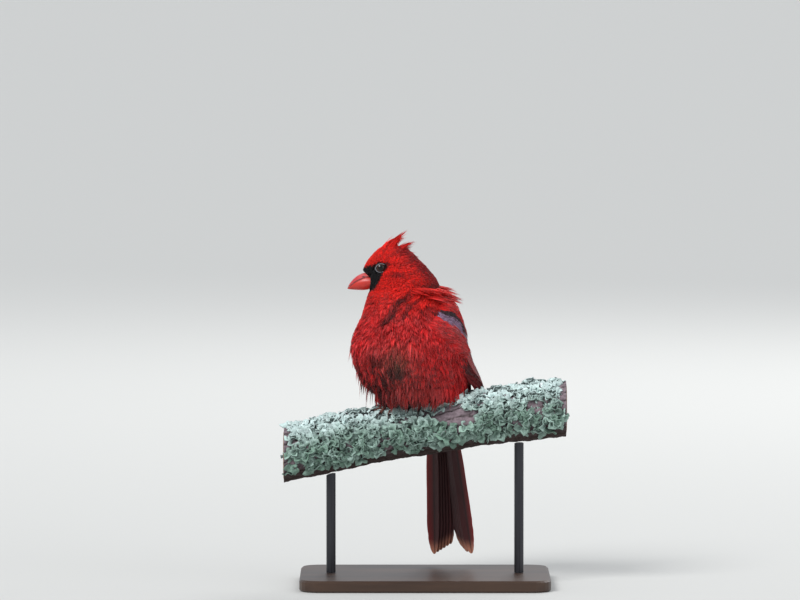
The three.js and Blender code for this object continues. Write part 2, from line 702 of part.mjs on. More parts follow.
// A point over the branch, so far along a direction from the middle of a foot.
function overBranch(middle, direction, reach, height) {
  const x = middle.x + Math.cos(direction) * reach;
  const angle = (-Math.sin(direction) * reach) / (BRANCH.radius + 1.5);
  return branchPoint(x, angle, height);
}
function footPad(side, grow) {
  const middle = footMiddle(side);
  const pad = new THREE.SphereGeometry(2.3 + grow, 8, 6);
  pad.translate(middle.x, middle.y, middle.z + 2);
  return solidOf(pad);
}
function footSolid(side, grow) {
  const middle = footMiddle(side);
  const pieces = [];
  pieces.push(footPad(side, grow));
  const directions = TOE.forwardAngles.map((a) => [heading + rad(a), TOE.reach]);
  directions.push([heading + Math.PI - rad(side * 8), TOE.hindReach]);
  for (const [direction, length] of directions) {
    const path = [];
    const radii = [];
    const steps = 4;
    for (let i = 0; i <= steps; i++) {
      const reach = (length * i) / steps;
      const knuckle = i % 2 ? 0.14 : 0;
      const arch = 0.35 * Math.sin((i / steps) * Math.PI);
      path.push(overBranch(middle, direction, reach, TOE.radius + GAP + 0.05 + arch));
      radii.push(TOE.radius * lerp(1.08, 0.82, i / steps) + knuckle + grow);
    }
    pieces.push(tubeAlong(path, radii, 6));
    const claw = [];
    const clawRadii = [];
    for (let i = 0; i <= 2; i++) {
      const k = i / 2;
      const height = 1.5 + 1.1 * Math.sin(Math.PI * k) - 0.9 * k;
      claw.push(overBranch(middle, direction, length - 0.8 + TOE.claw * k, height));
      clawRadii.push(lerp(0.85, 0.22, k) + grow);
    }
    pieces.push(tubeAlong(claw, clawRadii, 4));
  }
  return union(pieces);
}
function legSolid(side, grow) {
  const foot = footMiddle(side);
  const top = foot.clone().add(V(-2 * Math.cos(heading), 2.2 - 2 * Math.sin(heading), LEG.length));
  const low = foot.clone().add(V(0, 0, 4.75 - grow * 0.5));
  const path = [0, 0.3, 0.7, 1].map((k) => low.clone().lerp(top, k));
  if (grow) path.push(top.clone().addScaledVector(top.clone().sub(low).normalize(), 3 * grow));
  const radii = path.map((_, i) => LEG.radius * (1 + 0.12 * i) + grow);
  return tubeAlong(path, radii, 10);
}

// The stand: a board with round corners and two rods that end in the underside of the branch.
function baseSolid() {
  const { length, width, height, corner } = BASE;
  const outline = new THREE.Shape();
  const x = length / 2;
  const y = width / 2;
  outline.moveTo(-x + corner, -y);
  outline.lineTo(x - corner, -y);
  outline.absarc(x - corner, -y + corner, corner, -Math.PI / 2, 0, false);
  outline.absarc(x - corner, y - corner, corner, 0, Math.PI / 2, false);
  outline.absarc(-x + corner, y - corner, corner, Math.PI / 2, Math.PI, false);
  outline.absarc(-x + corner, -y + corner, corner, Math.PI, 1.5 * Math.PI, false);
  const board = new THREE.ExtrudeGeometry(outline, {
    depth: height - 1.5, bevelEnabled: true, bevelThickness: 1.5, bevelSize: 1.5, bevelOffset: -1.5,
    bevelSegments: 1, curveSegments: 3, steps: 1,
  });
  board.computeBoundingBox();
  board.translate(0, 0, -board.boundingBox.min.z);
  board.scale(1, 1, height / (board.boundingBox.max.z - board.boundingBox.min.z));
  return solidOf(board);
}
function rodSolid(x) {
  const top = branchMiddle(x) - 4;
  const foot = BASE.height + GAP;
  const rod = new THREE.CylinderGeometry(ROD.radius, ROD.radius, top - foot, 20);
  rod.rotateX(Math.PI / 2);
  rod.translate(x, 0, (top + foot) / 2);
  return solidOf(rod);
}

// Each node's solid.
const branch = branchSolid(0);
const branchRoom = branchSolid(GAP);
const body = bodySolid(0);
const bodyRoom = bodySolid(GAP);

const headBody = body.intersect(sideOf(...NECK_TOP, true));
const neckBody = body.intersect(sideOf(...NECK_TOP, false)).intersect(sideOf(...NECK_FOOT, true));
const torsoSide = sideOf(...NECK_FOOT, false);
const torsoBody = body.intersect(torsoSide);

const SIDES = [['left', 1], ['right', -1]];
const bill = billSolid().subtract(bodyRoom).subtract(mouthGap());
const billPieces = bill.decompose().sort((a, b) => b.volume() - a.volume()).slice(0, 2);
billPieces.sort((a, b) => b.boundingBox().max[2] - a.boundingBox().max[2]);
const billUpper = largest(billPieces[0].subtract(nostril(1)).subtract(nostril(-1)));
const billLower = billPieces[1];

let head = headBody;
for (const [, side] of SIDES) head = head.add(ball(EYE.radius + GAP + EYE.lid, eyeMiddle(side), 14, 8));
for (const row of CREST) {
  if (row.side === 0) head = head.add(crestFeather(row, 0));
  else for (const [, side] of SIDES) head = head.add(crestFeather(row, side));
}
for (const [, side] of SIDES) {
  head = head.subtract(ball(EYE.radius + GAP, eyeMiddle(side), 14, 8)).subtract(eyeOpening(side));
}
head = largest(head);

const wingBed = (side, s0, s1, t0, t1) => sheetSlab(wingPlace(side), s0, s1, t0, t1, -1.2, 9, 7, 4);
const wingBeds = SIDES.map(([, side]) => wingBed(side, 0.01, 0.51, 0.03, 0.97));
const wingBedsTight = SIDES.map(([, side]) => wingBed(side, 0.015, 0.505, 0.04, 0.96));
let torso = torsoBody;
for (const row of LOCK_ROWS) torso = torso.add(union(lockRow(row)));
for (const bed of wingBeds) torso = torso.subtract(bed);
for (const [, side] of SIDES) torso = torso.add(union(shoulderFeathers(side)));
torso = torso.intersect(torsoSide).subtract(branchRoom);
for (const [, side] of SIDES) torso = torso.subtract(legSolid(side, GAP)).subtract(footPad(side, GAP));
torso = largest(torso);

const keepOut = bodyRoom.subtract(wingBedsTight[0]).subtract(wingBedsTight[1]);
const tail = largest(tailSolid().subtract(bodyRoom).subtract(branchRoom));
const wings = SIDES.map(([, side]) =>
  largest(wingSolid(side).intersect(torsoSide).subtract(keepOut).subtract(tailKeepOut()).subtract(branchRoom)),
);

// The finished group: each mesh with its own material.
const root = new THREE.Group();
function addNode(name, solid, color, roughness) {
  const material = new THREE.MeshStandardMaterial({ color, roughness, metalness: 0 });
  const mesh = new THREE.Mesh(geometryOf(solid), material);
  mesh.name = name;
  root.add(mesh);
}
addNode('head', head, 0xbe140f, 0.8);
addNode('neck', largest(neckBody), 0xa01818, 0.8);
addNode('torso', torso, 0xaa1e1e, 0.85);
addNode('bill_upper', billUpper, 0xc84650, 0.4);
addNode('bill_lower', billLower, 0xbe372d, 0.4);
SIDES.forEach(([name, side], i) => {
  addNode('eye_' + name, ball(EYE.radius, eyeMiddle(side), 14, 8), 0x120c0c, 0.1);
  addNode('wing_' + name, wings[i], 0x6e3a44, 0.7);
  addNode('leg_' + name, legSolid(side, 0).subtract(footSolid(side, GAP)), 0x5a3a34, 0.6);
  addNode('foot_' + name, largest(footSolid(side, 0).subtract(branchRoom)), 0x5a3a34, 0.6);
  addNode('stand_rod_' + name, largest(rodSolid(-side * ROD.x).subtract(branchRoom)), 0x2a2a2c, 0.4);
});
addNode('tail', tail, 0x501818, 0.7);
addNode('perch_branch', branch, 0x8a9a94, 0.9);
addNode('stand_base', baseSolid(), 0x2e2620, 0.5);

export default root;
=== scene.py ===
# %% [markdown]
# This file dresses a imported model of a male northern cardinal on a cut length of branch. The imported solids
# give the frame: their places and sizes are never changed here. Each piece below is made in its final place,
# in metres, and then takes the place of the plain solid that it stands for.
# The tools are read first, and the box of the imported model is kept, to compare with at the end.

import bmesh
import bpy
import json
import math
import numpy as np
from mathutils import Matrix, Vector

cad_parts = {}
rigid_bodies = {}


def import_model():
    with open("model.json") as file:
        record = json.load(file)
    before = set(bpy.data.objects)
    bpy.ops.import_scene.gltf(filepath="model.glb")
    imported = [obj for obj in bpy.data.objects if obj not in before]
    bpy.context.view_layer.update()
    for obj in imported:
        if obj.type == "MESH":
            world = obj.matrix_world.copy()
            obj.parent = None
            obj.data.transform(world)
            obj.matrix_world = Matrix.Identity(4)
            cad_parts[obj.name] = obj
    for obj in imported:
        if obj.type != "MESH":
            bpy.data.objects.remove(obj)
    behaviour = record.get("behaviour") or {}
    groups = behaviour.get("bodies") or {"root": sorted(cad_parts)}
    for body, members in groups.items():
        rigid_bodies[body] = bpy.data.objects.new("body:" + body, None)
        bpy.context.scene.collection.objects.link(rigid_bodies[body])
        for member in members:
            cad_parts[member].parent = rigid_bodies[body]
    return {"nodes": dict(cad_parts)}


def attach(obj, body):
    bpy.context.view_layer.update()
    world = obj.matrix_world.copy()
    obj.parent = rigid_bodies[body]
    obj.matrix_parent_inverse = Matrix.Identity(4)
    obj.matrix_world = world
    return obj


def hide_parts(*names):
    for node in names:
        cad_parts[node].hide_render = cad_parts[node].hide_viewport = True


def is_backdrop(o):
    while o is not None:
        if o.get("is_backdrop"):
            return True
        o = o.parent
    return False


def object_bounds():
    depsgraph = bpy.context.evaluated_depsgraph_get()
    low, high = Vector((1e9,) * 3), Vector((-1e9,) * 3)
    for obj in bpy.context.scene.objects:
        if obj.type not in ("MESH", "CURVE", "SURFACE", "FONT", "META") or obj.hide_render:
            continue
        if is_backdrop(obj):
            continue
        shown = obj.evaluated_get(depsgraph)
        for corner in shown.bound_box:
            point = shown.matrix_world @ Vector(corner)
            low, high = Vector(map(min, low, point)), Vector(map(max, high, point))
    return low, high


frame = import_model()
cad_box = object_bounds()
MM = 0.001
print("packed nodes:", sorted(frame["nodes"]))
print("packed box in mm:", [[round(v / MM, 1) for v in corner] for corner in cad_box])

# %% [markdown]
# A bird's body is easiest to describe as level rings, like the ribs of a boat. Each ring has a height, a
# middle, a half depth, a half width and the way it faces. A smooth curve through the rings gives the outline
# at any height, so that skin and feathers can both be placed by two numbers: a height and an angle.
# The tables are in millimetres, as a maker would measure them, and every mesh is turned to metres at the end.

# %% Driving sizes of the bird, in millimetres
BODY_AXIS = (-9.0, 3.0)
BODY_HEADING = 235.0
HEAD_HEADING = 180.0
HEAD_Y = -8.0
# Rows of the trunk: height, how far the middle lies ahead of the axis, half depth, half width.
TRUNK_ROWS = [
    [128.2, -9, 7, 6],
    [129, -9, 18, 15],
    [130.4, -8.8, 27, 22.5],
    [133.2, -8, 34, 29.5],
    [137, -6.5, 38.5, 34],
    [143, -4.2, 40.2, 35.4],
    [152, 0, 41, 36.4],
    [163, 3, 40, 37],
    [171, 2.8, 37.8, 35.5],
    [180, 1.5, 34.5, 32],
    [190, 2, 31.5, 29.2],
    [197, 4, 29, 26],
]
# Rows of the head: height, x of the face, x of the nape, y, half width, heading, how much the face narrows.
HEAD_ROWS = [
    [203, -37.4, 9.9, -4.6, 21, 208, 0.12],
    [207, -38.8, 8, -6.4, 18.2, 194, 0.24],
    [210.5, -40.4, 5.9, -7.6, 16.2, 186, 0.33],
    [214, -41.8, 2.6, HEAD_Y, 15, HEAD_HEADING, 0.37],
    [217, -41, 0.4, HEAD_Y, 14.3, HEAD_HEADING, 0.36],
    [221, -38.9, -4, HEAD_Y, 12.8, HEAD_HEADING, 0.3],
    [225, -35.7, -7.5, HEAD_Y, 10.8, HEAD_HEADING, 0.24],
    [228, -32.8, -11, HEAD_Y, 8.4, HEAD_HEADING, 0.18],
    [230.4, -29.5, -14.8, HEAD_Y, 5.6, HEAD_HEADING, 0.1],
    [231.8, -26, -18, HEAD_Y, 3, HEAD_HEADING, 0],
]
HEADING = math.radians(BODY_HEADING)
AHEAD = np.array([math.cos(HEADING), math.sin(HEADING), 0.0])


def beside_axis(forward, leftward):
    """x and y of a place ahead of the body's axis and to the bird's left."""
    x = BODY_AXIS[0] + forward * math.cos(HEADING) - leftward * math.sin(HEADING)
    y = BODY_AXIS[1] + forward * math.sin(HEADING) + leftward * math.cos(HEADING)
    return x, y


def body_rings():
    rings = []
    for z, forward, depth, width in TRUNK_ROWS:
        rings.append([z, *beside_axis(forward, 0), depth, width, BODY_HEADING, 0])
    for z, face, nape, y, width, turn, narrow in HEAD_ROWS:
        rings.append([z, (face + nape) / 2, y, (nape - face) / 2, width, turn, narrow])
    return np.array(rings, float)


RINGS = body_rings()
LOW_Z, HIGH_Z = RINGS[0, 0], RINGS[-1, 0]
print("body rings:", len(RINGS), "from z", LOW_Z, "to", HIGH_Z)


# %% Reading the rings
def read_table(rows, value):
    """A smooth curve through the rows of a table, read at many values of the first column at once."""
    rows = np.asarray(rows, float)
    first = rows[:, 0]
    v = np.clip(np.asarray(value, float), first[0], first[-1])
    i = np.clip(np.searchsorted(first, v, side="right") - 1, 0, len(first) - 2)
    ahead = np.minimum(np.arange(len(first)) + 1, len(first) - 1)
    behind = np.maximum(np.arange(len(first)) - 1, 0)
    slope = (rows[ahead] - rows[behind]) / (first[ahead] - first[behind])[:, None]
    step = (first[i + 1] - first[i])[..., None]
    t = (v[..., None] - first[i][..., None]) / step
    a = 2 * t**3 - 3 * t**2 + 1
    b = t**3 - 2 * t**2 + t
    d = t**3 - t**2
    return a * rows[i] + b * slope[i] * step + (1 - a) * rows[i + 1] + d * slope[i + 1] * step


def body_point(z, angle, grow=0.0):
    """Points of the bird's outline at heights and angles in degrees, positive to the bird's left."""
    z, angle, grow = np.broadcast_arrays(np.asarray(z, float), np.asarray(angle, float), grow)
    row = read_table(RINGS, z)
    turn = np.radians(row[..., 5])
    a = np.radians(angle)
    forward = (row[..., 3] + grow) * np.cos(a)
    side = (row[..., 4] + grow) * np.sin(a) * (1 - row[..., 6] * np.cos(a))
    x = row[..., 1] + forward * np.cos(turn) - side * np.sin(turn)
    y = row[..., 2] + forward * np.sin(turn) + side * np.cos(turn)
    return np.stack([x, y, np.clip(z, LOW_Z, HIGH_Z)], -1)


def unit(v):
    return v / np.maximum(np.linalg.norm(v, axis=-1, keepdims=True), 1e-9)


HEIGHT_STEP = 0.2
ANGLE_STEP = 0.5


def body_tangents(z, angle):
    """How a point moves for a small step in height and for a small step round the body."""
    up = (body_point(z + HEIGHT_STEP, angle) - body_point(z - HEIGHT_STEP, angle)) / (2 * HEIGHT_STEP)
    around = body_point(z, angle + ANGLE_STEP) - body_point(z, angle - ANGLE_STEP)
    return up, around


def body_normal(z, angle):
    up, around = body_tangents(z, angle)
    return unit(np.cross(around, up))


probe = body_normal(np.array([160.0]), np.array([0.0]))[0]
print("the breast faces", np.round(probe, 2), "and should face about", np.round(AHEAD, 2))

# %% [markdown]
# Every mesh here is built from arrays, because a coat holds tens of thousands of small shapes. One function
# turns points, faces and colours into a Blender mesh. Colours are kept per point in an attribute, so that the
# same markings can lie on the skin and on each feather, and a UV map lays each piece out for baking.


# %% A mesh from arrays
def linear(rgb):
    """A colour from 0 to 255, as seen, to the linear values that shaders use."""
    c = np.asarray(rgb, float) / 255
    return np.where(c <= 0.04045, c / 12.92, ((c + 0.055) / 1.055) ** 2.4)


def mesh_piece(name, points, face_sets, colours, uv=None, uv_name="OFBake"):
    """An object from points in millimetres, arrays of faces of equal size, and a colour a point."""
    uv = np.full((len(points), 2), 0.5) if uv is None else uv
    counts = np.concatenate([np.full(len(f), f.shape[1]) for f in face_sets])
    corners = np.concatenate([f.ravel() for f in face_sets]).astype(np.int32)
    mesh = bpy.data.meshes.new(name)
    mesh.vertices.add(len(points))
    mesh.vertices.foreach_set("co", (points * MM).astype(np.float32).ravel())
    mesh.loops.add(len(corners))
    mesh.loops.foreach_set("vertex_index", corners)
    mesh.polygons.add(len(counts))
    starts = np.concatenate([[0], np.cumsum(counts)[:-1]]).astype(np.int32)
    mesh.polygons.foreach_set("loop_start", starts)
    mesh.update(calc_edges=True)
    mesh.shade_smooth()
    # The colour attribute holds the markings together with the painted light and shade.
    layer = mesh.color_attributes.new("MarkingsAndPaintedLight", "FLOAT_COLOR", "POINT")
    rgba = np.concatenate([colours, np.ones((len(colours), 1))], 1).astype(np.float32)
    layer.data.foreach_set("color", rgba.ravel())
    layer = mesh.uv_layers.new(name=uv_name)
    layer.data.foreach_set("uv", uv[corners].astype(np.float32).ravel())
    mesh.validate()
    piece = bpy.data.objects.new(name, mesh)
    bpy.context.scene.collection.objects.link(piece)
    return piece


def grid_faces(rows, columns, closed):
    """Quads of a grid of points, row by row, joined round each row where closed."""
    i = np.arange(rows - 1)[:, None]
    j = np.arange(columns if closed else columns - 1)[None, :]
    a = i * columns + j
    b = i * columns + (j + 1) % columns
    return np.stack([a, b, b + columns, a + columns], -1).reshape(-1, 4)


def end_faces(rows, columns):
    """Triangles from a closed grid's first and last row to two points that follow the grid's own."""
    j = np.arange(columns)
    nxt = (j + 1) % columns
    last = (rows - 1) * columns
    middle = np.full(columns, rows * columns)
    return np.concatenate([np.stack([middle, nxt, j], -1), np.stack([middle + 1, last + j, last + nxt], -1)])


def joined(name, parts, uv_name="OFBake"):
    """One piece from parts, each of points, face sets, colours and a UV map or None."""
    points, face_sets, colours, maps = zip(*parts)
    starts = np.cumsum([0] + [len(p) for p in points[:-1]])
    sets = [np.concatenate([f + start for f, start in zip(same, starts)]) for same in zip(*face_sets)]
    uv = None if maps[0] is None else np.concatenate(maps)
    return mesh_piece(name, np.concatenate(points), sets, np.concatenate(colours), uv, uv_name)


def outwards(piece):
    """Turns a closed piece's faces to point outwards."""
    work = bmesh.new()
    work.from_mesh(piece.data)
    bmesh.ops.recalc_face_normals(work, faces=work.faces)
    work.to_mesh(piece.data)
    work.free()
    return piece


def triangles_of(piece):
    return sum(len(p.vertices) - 2 for p in piece.data.polygons)


def tell(*pieces):
    for piece in pieces:
        print(piece.name + ":", triangles_of(piece), "triangles")


print("a mid grey in linear values:", np.round(linear([128, 128, 128]), 3).tolist())

# %% [markdown]
# The markings of an adult male: scarlet face, crown and crest, a black mask round the base of the bill and
# the eye, a duller maroon nape, a red breast with rosier tips, partly a painted highlight, a parted dusky
# patch low on the breast, a lower belly that is darker towards the bottom, and a back washed with grey-brown.
# Painted light and shade lie over them: dark gaps of painted shade between locks, lighter and darker clumps
# of locks, a painted shadow line at the nape and painted shade under the fringe. One function gives the
# colour at any place of the bird. Skin and feathers both ask it, so they agree where the coat is thin.

# %% Colours and places of the markings, and of the painted light and shade
SCARLET = linear([206, 22, 12])
ORANGE_RED = linear([222, 46, 26])
MAROON = linear([112, 14, 20])
BREAST_RED = linear([188, 20, 22])
# Pinker tips of the strands: partly the feathers' own colour, partly a painted highlight.
ROSY_TIP_AND_PAINTED_HIGHLIGHT = linear([214, 84, 86])
DUSKY = linear([64, 28, 26])
# Painted shade: the dark seen in the gaps between locks.
GAP_SHADE = linear([30, 7, 9])
OLIVE_GREY = linear([98, 66, 50])
BELLY_DARK = linear([112, 16, 10])
BACK_RED = linear([118, 30, 30])
BLACK = linear([14, 13, 15])

BILL_ROOT = np.array([-45.0, HEAD_Y, 207.5])
MASK_OUTLINE = np.array([
    [-48, 214], [-41.2, 216.8], [-34.6, 218.6], [-30.8, 220.9], [-25.4, 220.6], [-23.6, 220.2],
    [-27.2, 215.4], [-29.6, 211.6], [-31.2, 207.2], [-34.2, 202.2], [-38.2, 199.4], [-48, 199],
])
# Soft patches, as x and z of the middle, half width and half height. The patch under the fringe is painted
# shade, and the thin one at the nape is a painted shadow line.
PARTED_PATCH = (-19, 154, 9.5, 10)
DUSKY_PATCH = (-16, 147.5, 8, 4)
SHADE_UNDER_FRINGE = (-33, 157, 6, 4.5)
CHEEK_PATCH = (-18.5, 212, 4.6, 2.1)
NAPE_SHADOW_LINE = (4, 204.4, 8.5, 1.7)
# Painted shade in dark gaps between locks that slant over the throat: a point on the line, its slant, its half
# width, and where it fades.
THROAT_GAP_SHADE = [
    {"x": -19.5, "z": 190, "slant": 0.72, "half": 2.6, "foot": (174, 182), "top": (204, 196), "share": 0.92},
    {"x": -9, "z": 192, "slant": 0.8, "half": 1.8, "foot": (180, 186), "top": (200, 194), "share": 0.75},
]
print("mask outline:", len(MASK_OUTLINE), "points; dark gaps at the throat:", len(THROAT_GAP_SHADE))


# %% Tools for markings
def rise(value, low, high):
    """From 0 at low to 1 at high, eased at both ends."""
    t = np.clip((value - low) / (high - low), 0, 1)
    return t * t * (3 - 2 * t)


def inside_outline(outline, u, v):
    """Whether (u, v) lies inside the outline, and how far it is from its edge."""
    inside = np.zeros(np.shape(u), bool)
    near = np.full(np.shape(u), 1e9)
    for a, b in zip(outline, np.roll(outline, -1, axis=0)):
        crosses = (a[1] > v) != (b[1] > v)
        height = b[1] - a[1] if abs(b[1] - a[1]) > 1e-9 else 1e-9
        inside ^= crosses & (u < (b[0] - a[0]) * (v - a[1]) / height + a[0])
        edge = b - a
        t = np.clip(((u - a[0]) * edge[0] + (v - a[1]) * edge[1]) / (edge @ edge), 0, 1)
        near = np.minimum(near, np.hypot(u - a[0] - t * edge[0], v - a[1] - t * edge[1]))
    return inside, near


def patch(p, x, z, half_x, half_z):
    """A soft round patch in x and z, which runs through the bird to its other side."""
    return np.exp(-(((p[..., 0] - x) / half_x) ** 2) - ((p[..., 2] - z) / half_z) ** 2)


def blend_colour(base, other, share):
    return base + (other - base) * np.clip(share, 0, 1)[..., None]


print("halfway up a rise:", float(rise(0.5, 0, 1)))


# %% Markings, with painted light and shade
def trunk_colour(p, grain):
    x, z = p[..., 0], p[..., 2]
    back = (p - np.array([*BODY_AXIS, 0])) @ -AHEAD
    colour = blend_colour(np.broadcast_to(BREAST_RED, p.shape), SCARLET, rise(z, 176, 200))
    colour = blend_colour(colour, BACK_RED, rise(back + 2 * grain, 12, 26) * rise(z, 205, 196))
    # The belly is darker towards the bottom, at the front.
    return blend_colour(colour, BELLY_DARK, 0.9 * rise(z + 3 * grain, 150, 134) * rise(x, 16, 2))


def with_low_patches(colour, p, grain):
    """The parted dusky patch, painted shade under the fringe, and dark stripes of painted shade in the gaps
    among the low locks on the side towards -X.
    """
    x, y, z = p[..., 0], p[..., 1], p[..., 2]
    near_side, near_half = rise(y, 6, -6), rise(y, 16, 2)
    parted = patch(p, *PARTED_PATCH) * near_side
    colour = blend_colour(colour, OLIVE_GREY, 0.9 * parted + 0.25 * grain * parted)
    colour = blend_colour(colour, DUSKY, 0.85 * patch(p, *DUSKY_PATCH) * near_side)
    # Painted shade under the fringe of locks.
    colour = blend_colour(colour, DUSKY, 0.7 * patch(p, *SHADE_UNDER_FRINGE) * near_half)
    # Painted shade in the gaps between the low locks, as stripes.
    gap_shade_stripe = 0.5 + 0.5 * np.cos(2 * np.pi * (x + 0.12 * z + 0.8 * grain) / 5.2)
    low_side = rise(-x, 14, 26) * rise(-z, -160, -150) * near_half
    return blend_colour(colour, GAP_SHADE, 0.85 * low_side * rise(gap_shade_stripe, 0.5, 0.85))


def with_painted_lock_light_and_rays(colour, p):
    """Painted highlights and shade on clumps of locks on the trunk, and rays that run back from the bill on
    the head.
    """
    x, y, z = p[..., 0], p[..., 1], p[..., 2]
    # Painted light and shade: clumps of locks made lighter and darker.
    clumps = np.sin(x * 0.46 + 1.7 * np.sin(z * 0.14)) * np.sin(z * 0.31 + x * 0.17 + y * 0.1)
    colour = colour * (1 + 0.24 * clumps * rise(z, 204, 190))[..., None]
    turn = np.arctan2(z - BILL_ROOT[2], x - BILL_ROOT[0] + 4)
    rays = np.sin(turn * 31 + 1.2 * np.sin(x * 0.35)) + 0.6 * np.sin(turn * 73 + 1.5 * np.sin(x * 0.6))
    return colour * (1 + 0.17 * rays * rise(z, 206, 213) * rise(x, -38, -30))[..., None]


def with_head_markings(colour, p, grain):
    x, z = p[..., 0], p[..., 2]
    nape = rise(x + 0.9 * (z - 214) + 2 * grain, -10, 0) * rise(z, 200, 206)
    colour = blend_colour(colour, MAROON, 0.8 * nape)
    colour = blend_colour(colour, ORANGE_RED, 0.6 * rise(x, -28, -40) * rise(z, 214, 224))
    return blend_colour(colour, MAROON, 0.75 * patch(p, *CHEEK_PATCH))


def with_painted_gap_shade(colour, p):
    x, y, z = p[..., 0], p[..., 1], p[..., 2]
    near_side = rise(y, 4, -6)
    # Painted shade in the gaps between locks on the throat.
    for row in THROAT_GAP_SHADE:
        line = np.abs((x - row["x"]) - row["slant"] * (z - row["z"])) / row["half"]
        gap = np.exp(-line**2) * rise(z, *row["foot"]) * rise(z, *row["top"]) * near_side
        colour = blend_colour(colour, GAP_SHADE, row["share"] * gap)
    # Painted shadow: a thin dark line across the nape where the raised feathers of the mantle begin.
    colour = blend_colour(colour, DUSKY, 0.9 * patch(p, *NAPE_SHADOW_LINE))
    # Painted shade: a thin dark line in the gap where the wing meets the body.
    wing_shade_line = np.abs(z - 188.6 + 0.2 * x) / 1.3
    wing_gap_shade = np.exp(-wing_shade_line**2) * rise(x, -5, 0) * rise(-x, -14, -9) * near_side
    return blend_colour(colour, GAP_SHADE, 0.85 * wing_gap_shade)


def plumage(p, grain):
    """The colour of the coat with its painted light and shade, at points p in millimetres, with a grain from
    -1 to 1 that loosens the edges.
    """
    colour = with_low_patches(trunk_colour(p, grain), p, grain)
    colour = with_head_markings(with_painted_lock_light_and_rays(colour, p), p, grain)
    colour = with_painted_gap_shade(colour, p)
    inside, edge = inside_outline(MASK_OUTLINE, p[..., 0], p[..., 2])
    depth = np.where(inside, edge, -edge) + 0.55 * grain
    return blend_colour(colour, BLACK, rise(depth, -0.55, 0.45) * rise(p[..., 0], -20, -23))


sample = plumage(np.array([[-36.0, -15, 216], [-12, -36, 170]]), np.zeros(2))
print("mask and breast colours", np.round(sample, 3).tolist())

# %% [markdown]
# One skin carries the head, neck and trunk without a seam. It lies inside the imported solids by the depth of
# the coat, thin on the face and deeper on the body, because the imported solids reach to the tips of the
# feathers. A grid of rings is enough, since the rings already hold the shape.

# %% Skin
SKIN_ROWS = 150
SKIN_COLUMNS = 180
# Painted shade: the skin shows the coat's colours darker, as it lies in the shade under the feathers.
SKIN_PAINTED_SHADE = 0.55


def coat_depth(z):
    """How deep the coat is at a height: under a millimetre on the head and about three on the belly."""
    return 0.9 + 0.7 * rise(z, 212, 200) + 1.4 * rise(z, 200, 180)


def surface_uv(z, angle):
    """The unwrap of the skin's own shape: once round in u, from belly to crown in v."""
    return np.stack([(angle / 360) % 1, (z - LOW_Z) / (HIGH_Z - LOW_Z)], -1)


def make_skin():
    k = np.linspace(0, 1, SKIN_ROWS)
    z = LOW_Z + (HIGH_Z - LOW_Z) * (0.45 * k + 0.55 * (0.5 - 0.5 * np.cos(np.pi * k)))
    angle = np.linspace(0, 360, SKIN_COLUMNS, endpoint=False)
    zz, aa = np.meshgrid(z, angle, indexing="ij")
    points = body_point(zz, aa, -coat_depth(zz))
    points[..., 2] += 1.2 * rise(zz, 150, LOW_Z) - 0.9 * rise(zz, 222, HIGH_Z)
    flat = points.reshape(-1, 3)
    poles = np.array([points[0].mean(0), points[-1].mean(0)])
    places = np.concatenate([flat, poles])
    faces = [grid_faces(SKIN_ROWS, SKIN_COLUMNS, True), end_faces(SKIN_ROWS, SKIN_COLUMNS)]
    grain = np.sin(places[:, 0] * 3.1) * np.sin(places[:, 2] * 2.7 + places[:, 1])
    uv = np.concatenate([surface_uv(zz, aa).reshape(-1, 2), [[0.5, 0], [0.5, 1]]])
    # The skin's colour is the coat's, darkened as painted shade under the feathers.
    return outwards(mesh_piece("skin", places, faces, plumage(places, grain) * SKIN_PAINTED_SHADE, uv))


skin = make_skin()
tell(skin)

# %% [markdown]
# A small body feather is a soft vane whose barbs part into strands at the tip. Here each feather is a tuft of
# thin solid strands that share a root in the skin, spread into the vane's oval and end at different lengths.
# Each strand is a little three-sided blade. Paths are stepped along the body, so that a feather follows the
# curve below it, and all strands of a coat are worked out together as arrays.

# %% The lie of the coat
def lie_of_coat(p, normal):
    """The way feathers point: back from the bill on the head, down on the body, outwards at the mantle."""
    x, z = p[..., 0], p[..., 2]
    from_bill = unit(p - BILL_ROOT)
    head = rise(z, 198, 214)
    flow = from_bill * (0.25 + 1.3 * head)[..., None]
    flow[..., 2] -= 0.35 + 1.5 * (1 - head)
    neck = rise(z, 178, 192) * rise(z, 212, 202)
    flow[..., 0] -= 0.75 * neck * rise(x, 2, -12)
    flow[..., 0] += 0.9 * neck * rise(x, 0, 12)
    flow[..., 2] += 0.55 * rise(z, 216, 226) * rise(x, -12, -30)
    aside = np.cross(normal, unit(flow))
    wander = 0.3 * np.sin(x * 0.55 + 1.3 * np.sin(z * 0.21)) + 0.2 * np.sin(p[..., 1] * 0.7 + z * 0.33)
    flow += aside * (wander * (1 - 0.75 * head))[..., None] * np.linalg.norm(flow, axis=-1, keepdims=True)
    flow -= (flow * normal).sum(-1, keepdims=True) * normal
    return unit(flow)


def step_along(z, angle, flow, distance):
    """Moves places on the body by a distance along a direction, in height and angle."""
    up, around = body_tangents(z, angle)
    uu, ua, aa = (up * up).sum(-1), (up * around).sum(-1), (around * around).sum(-1)
    fu, fa = (flow * up).sum(-1), (flow * around).sum(-1)
    scale = np.maximum(uu * aa - ua**2, 1e-6)
    dz = (fu * aa - fa * ua) / scale
    da = (fa * uu - fu * ua) / scale
    return z + dz * distance, angle + np.clip(da * distance, -25, 25)


print("the coat lies back from", BILL_ROOT.tolist())


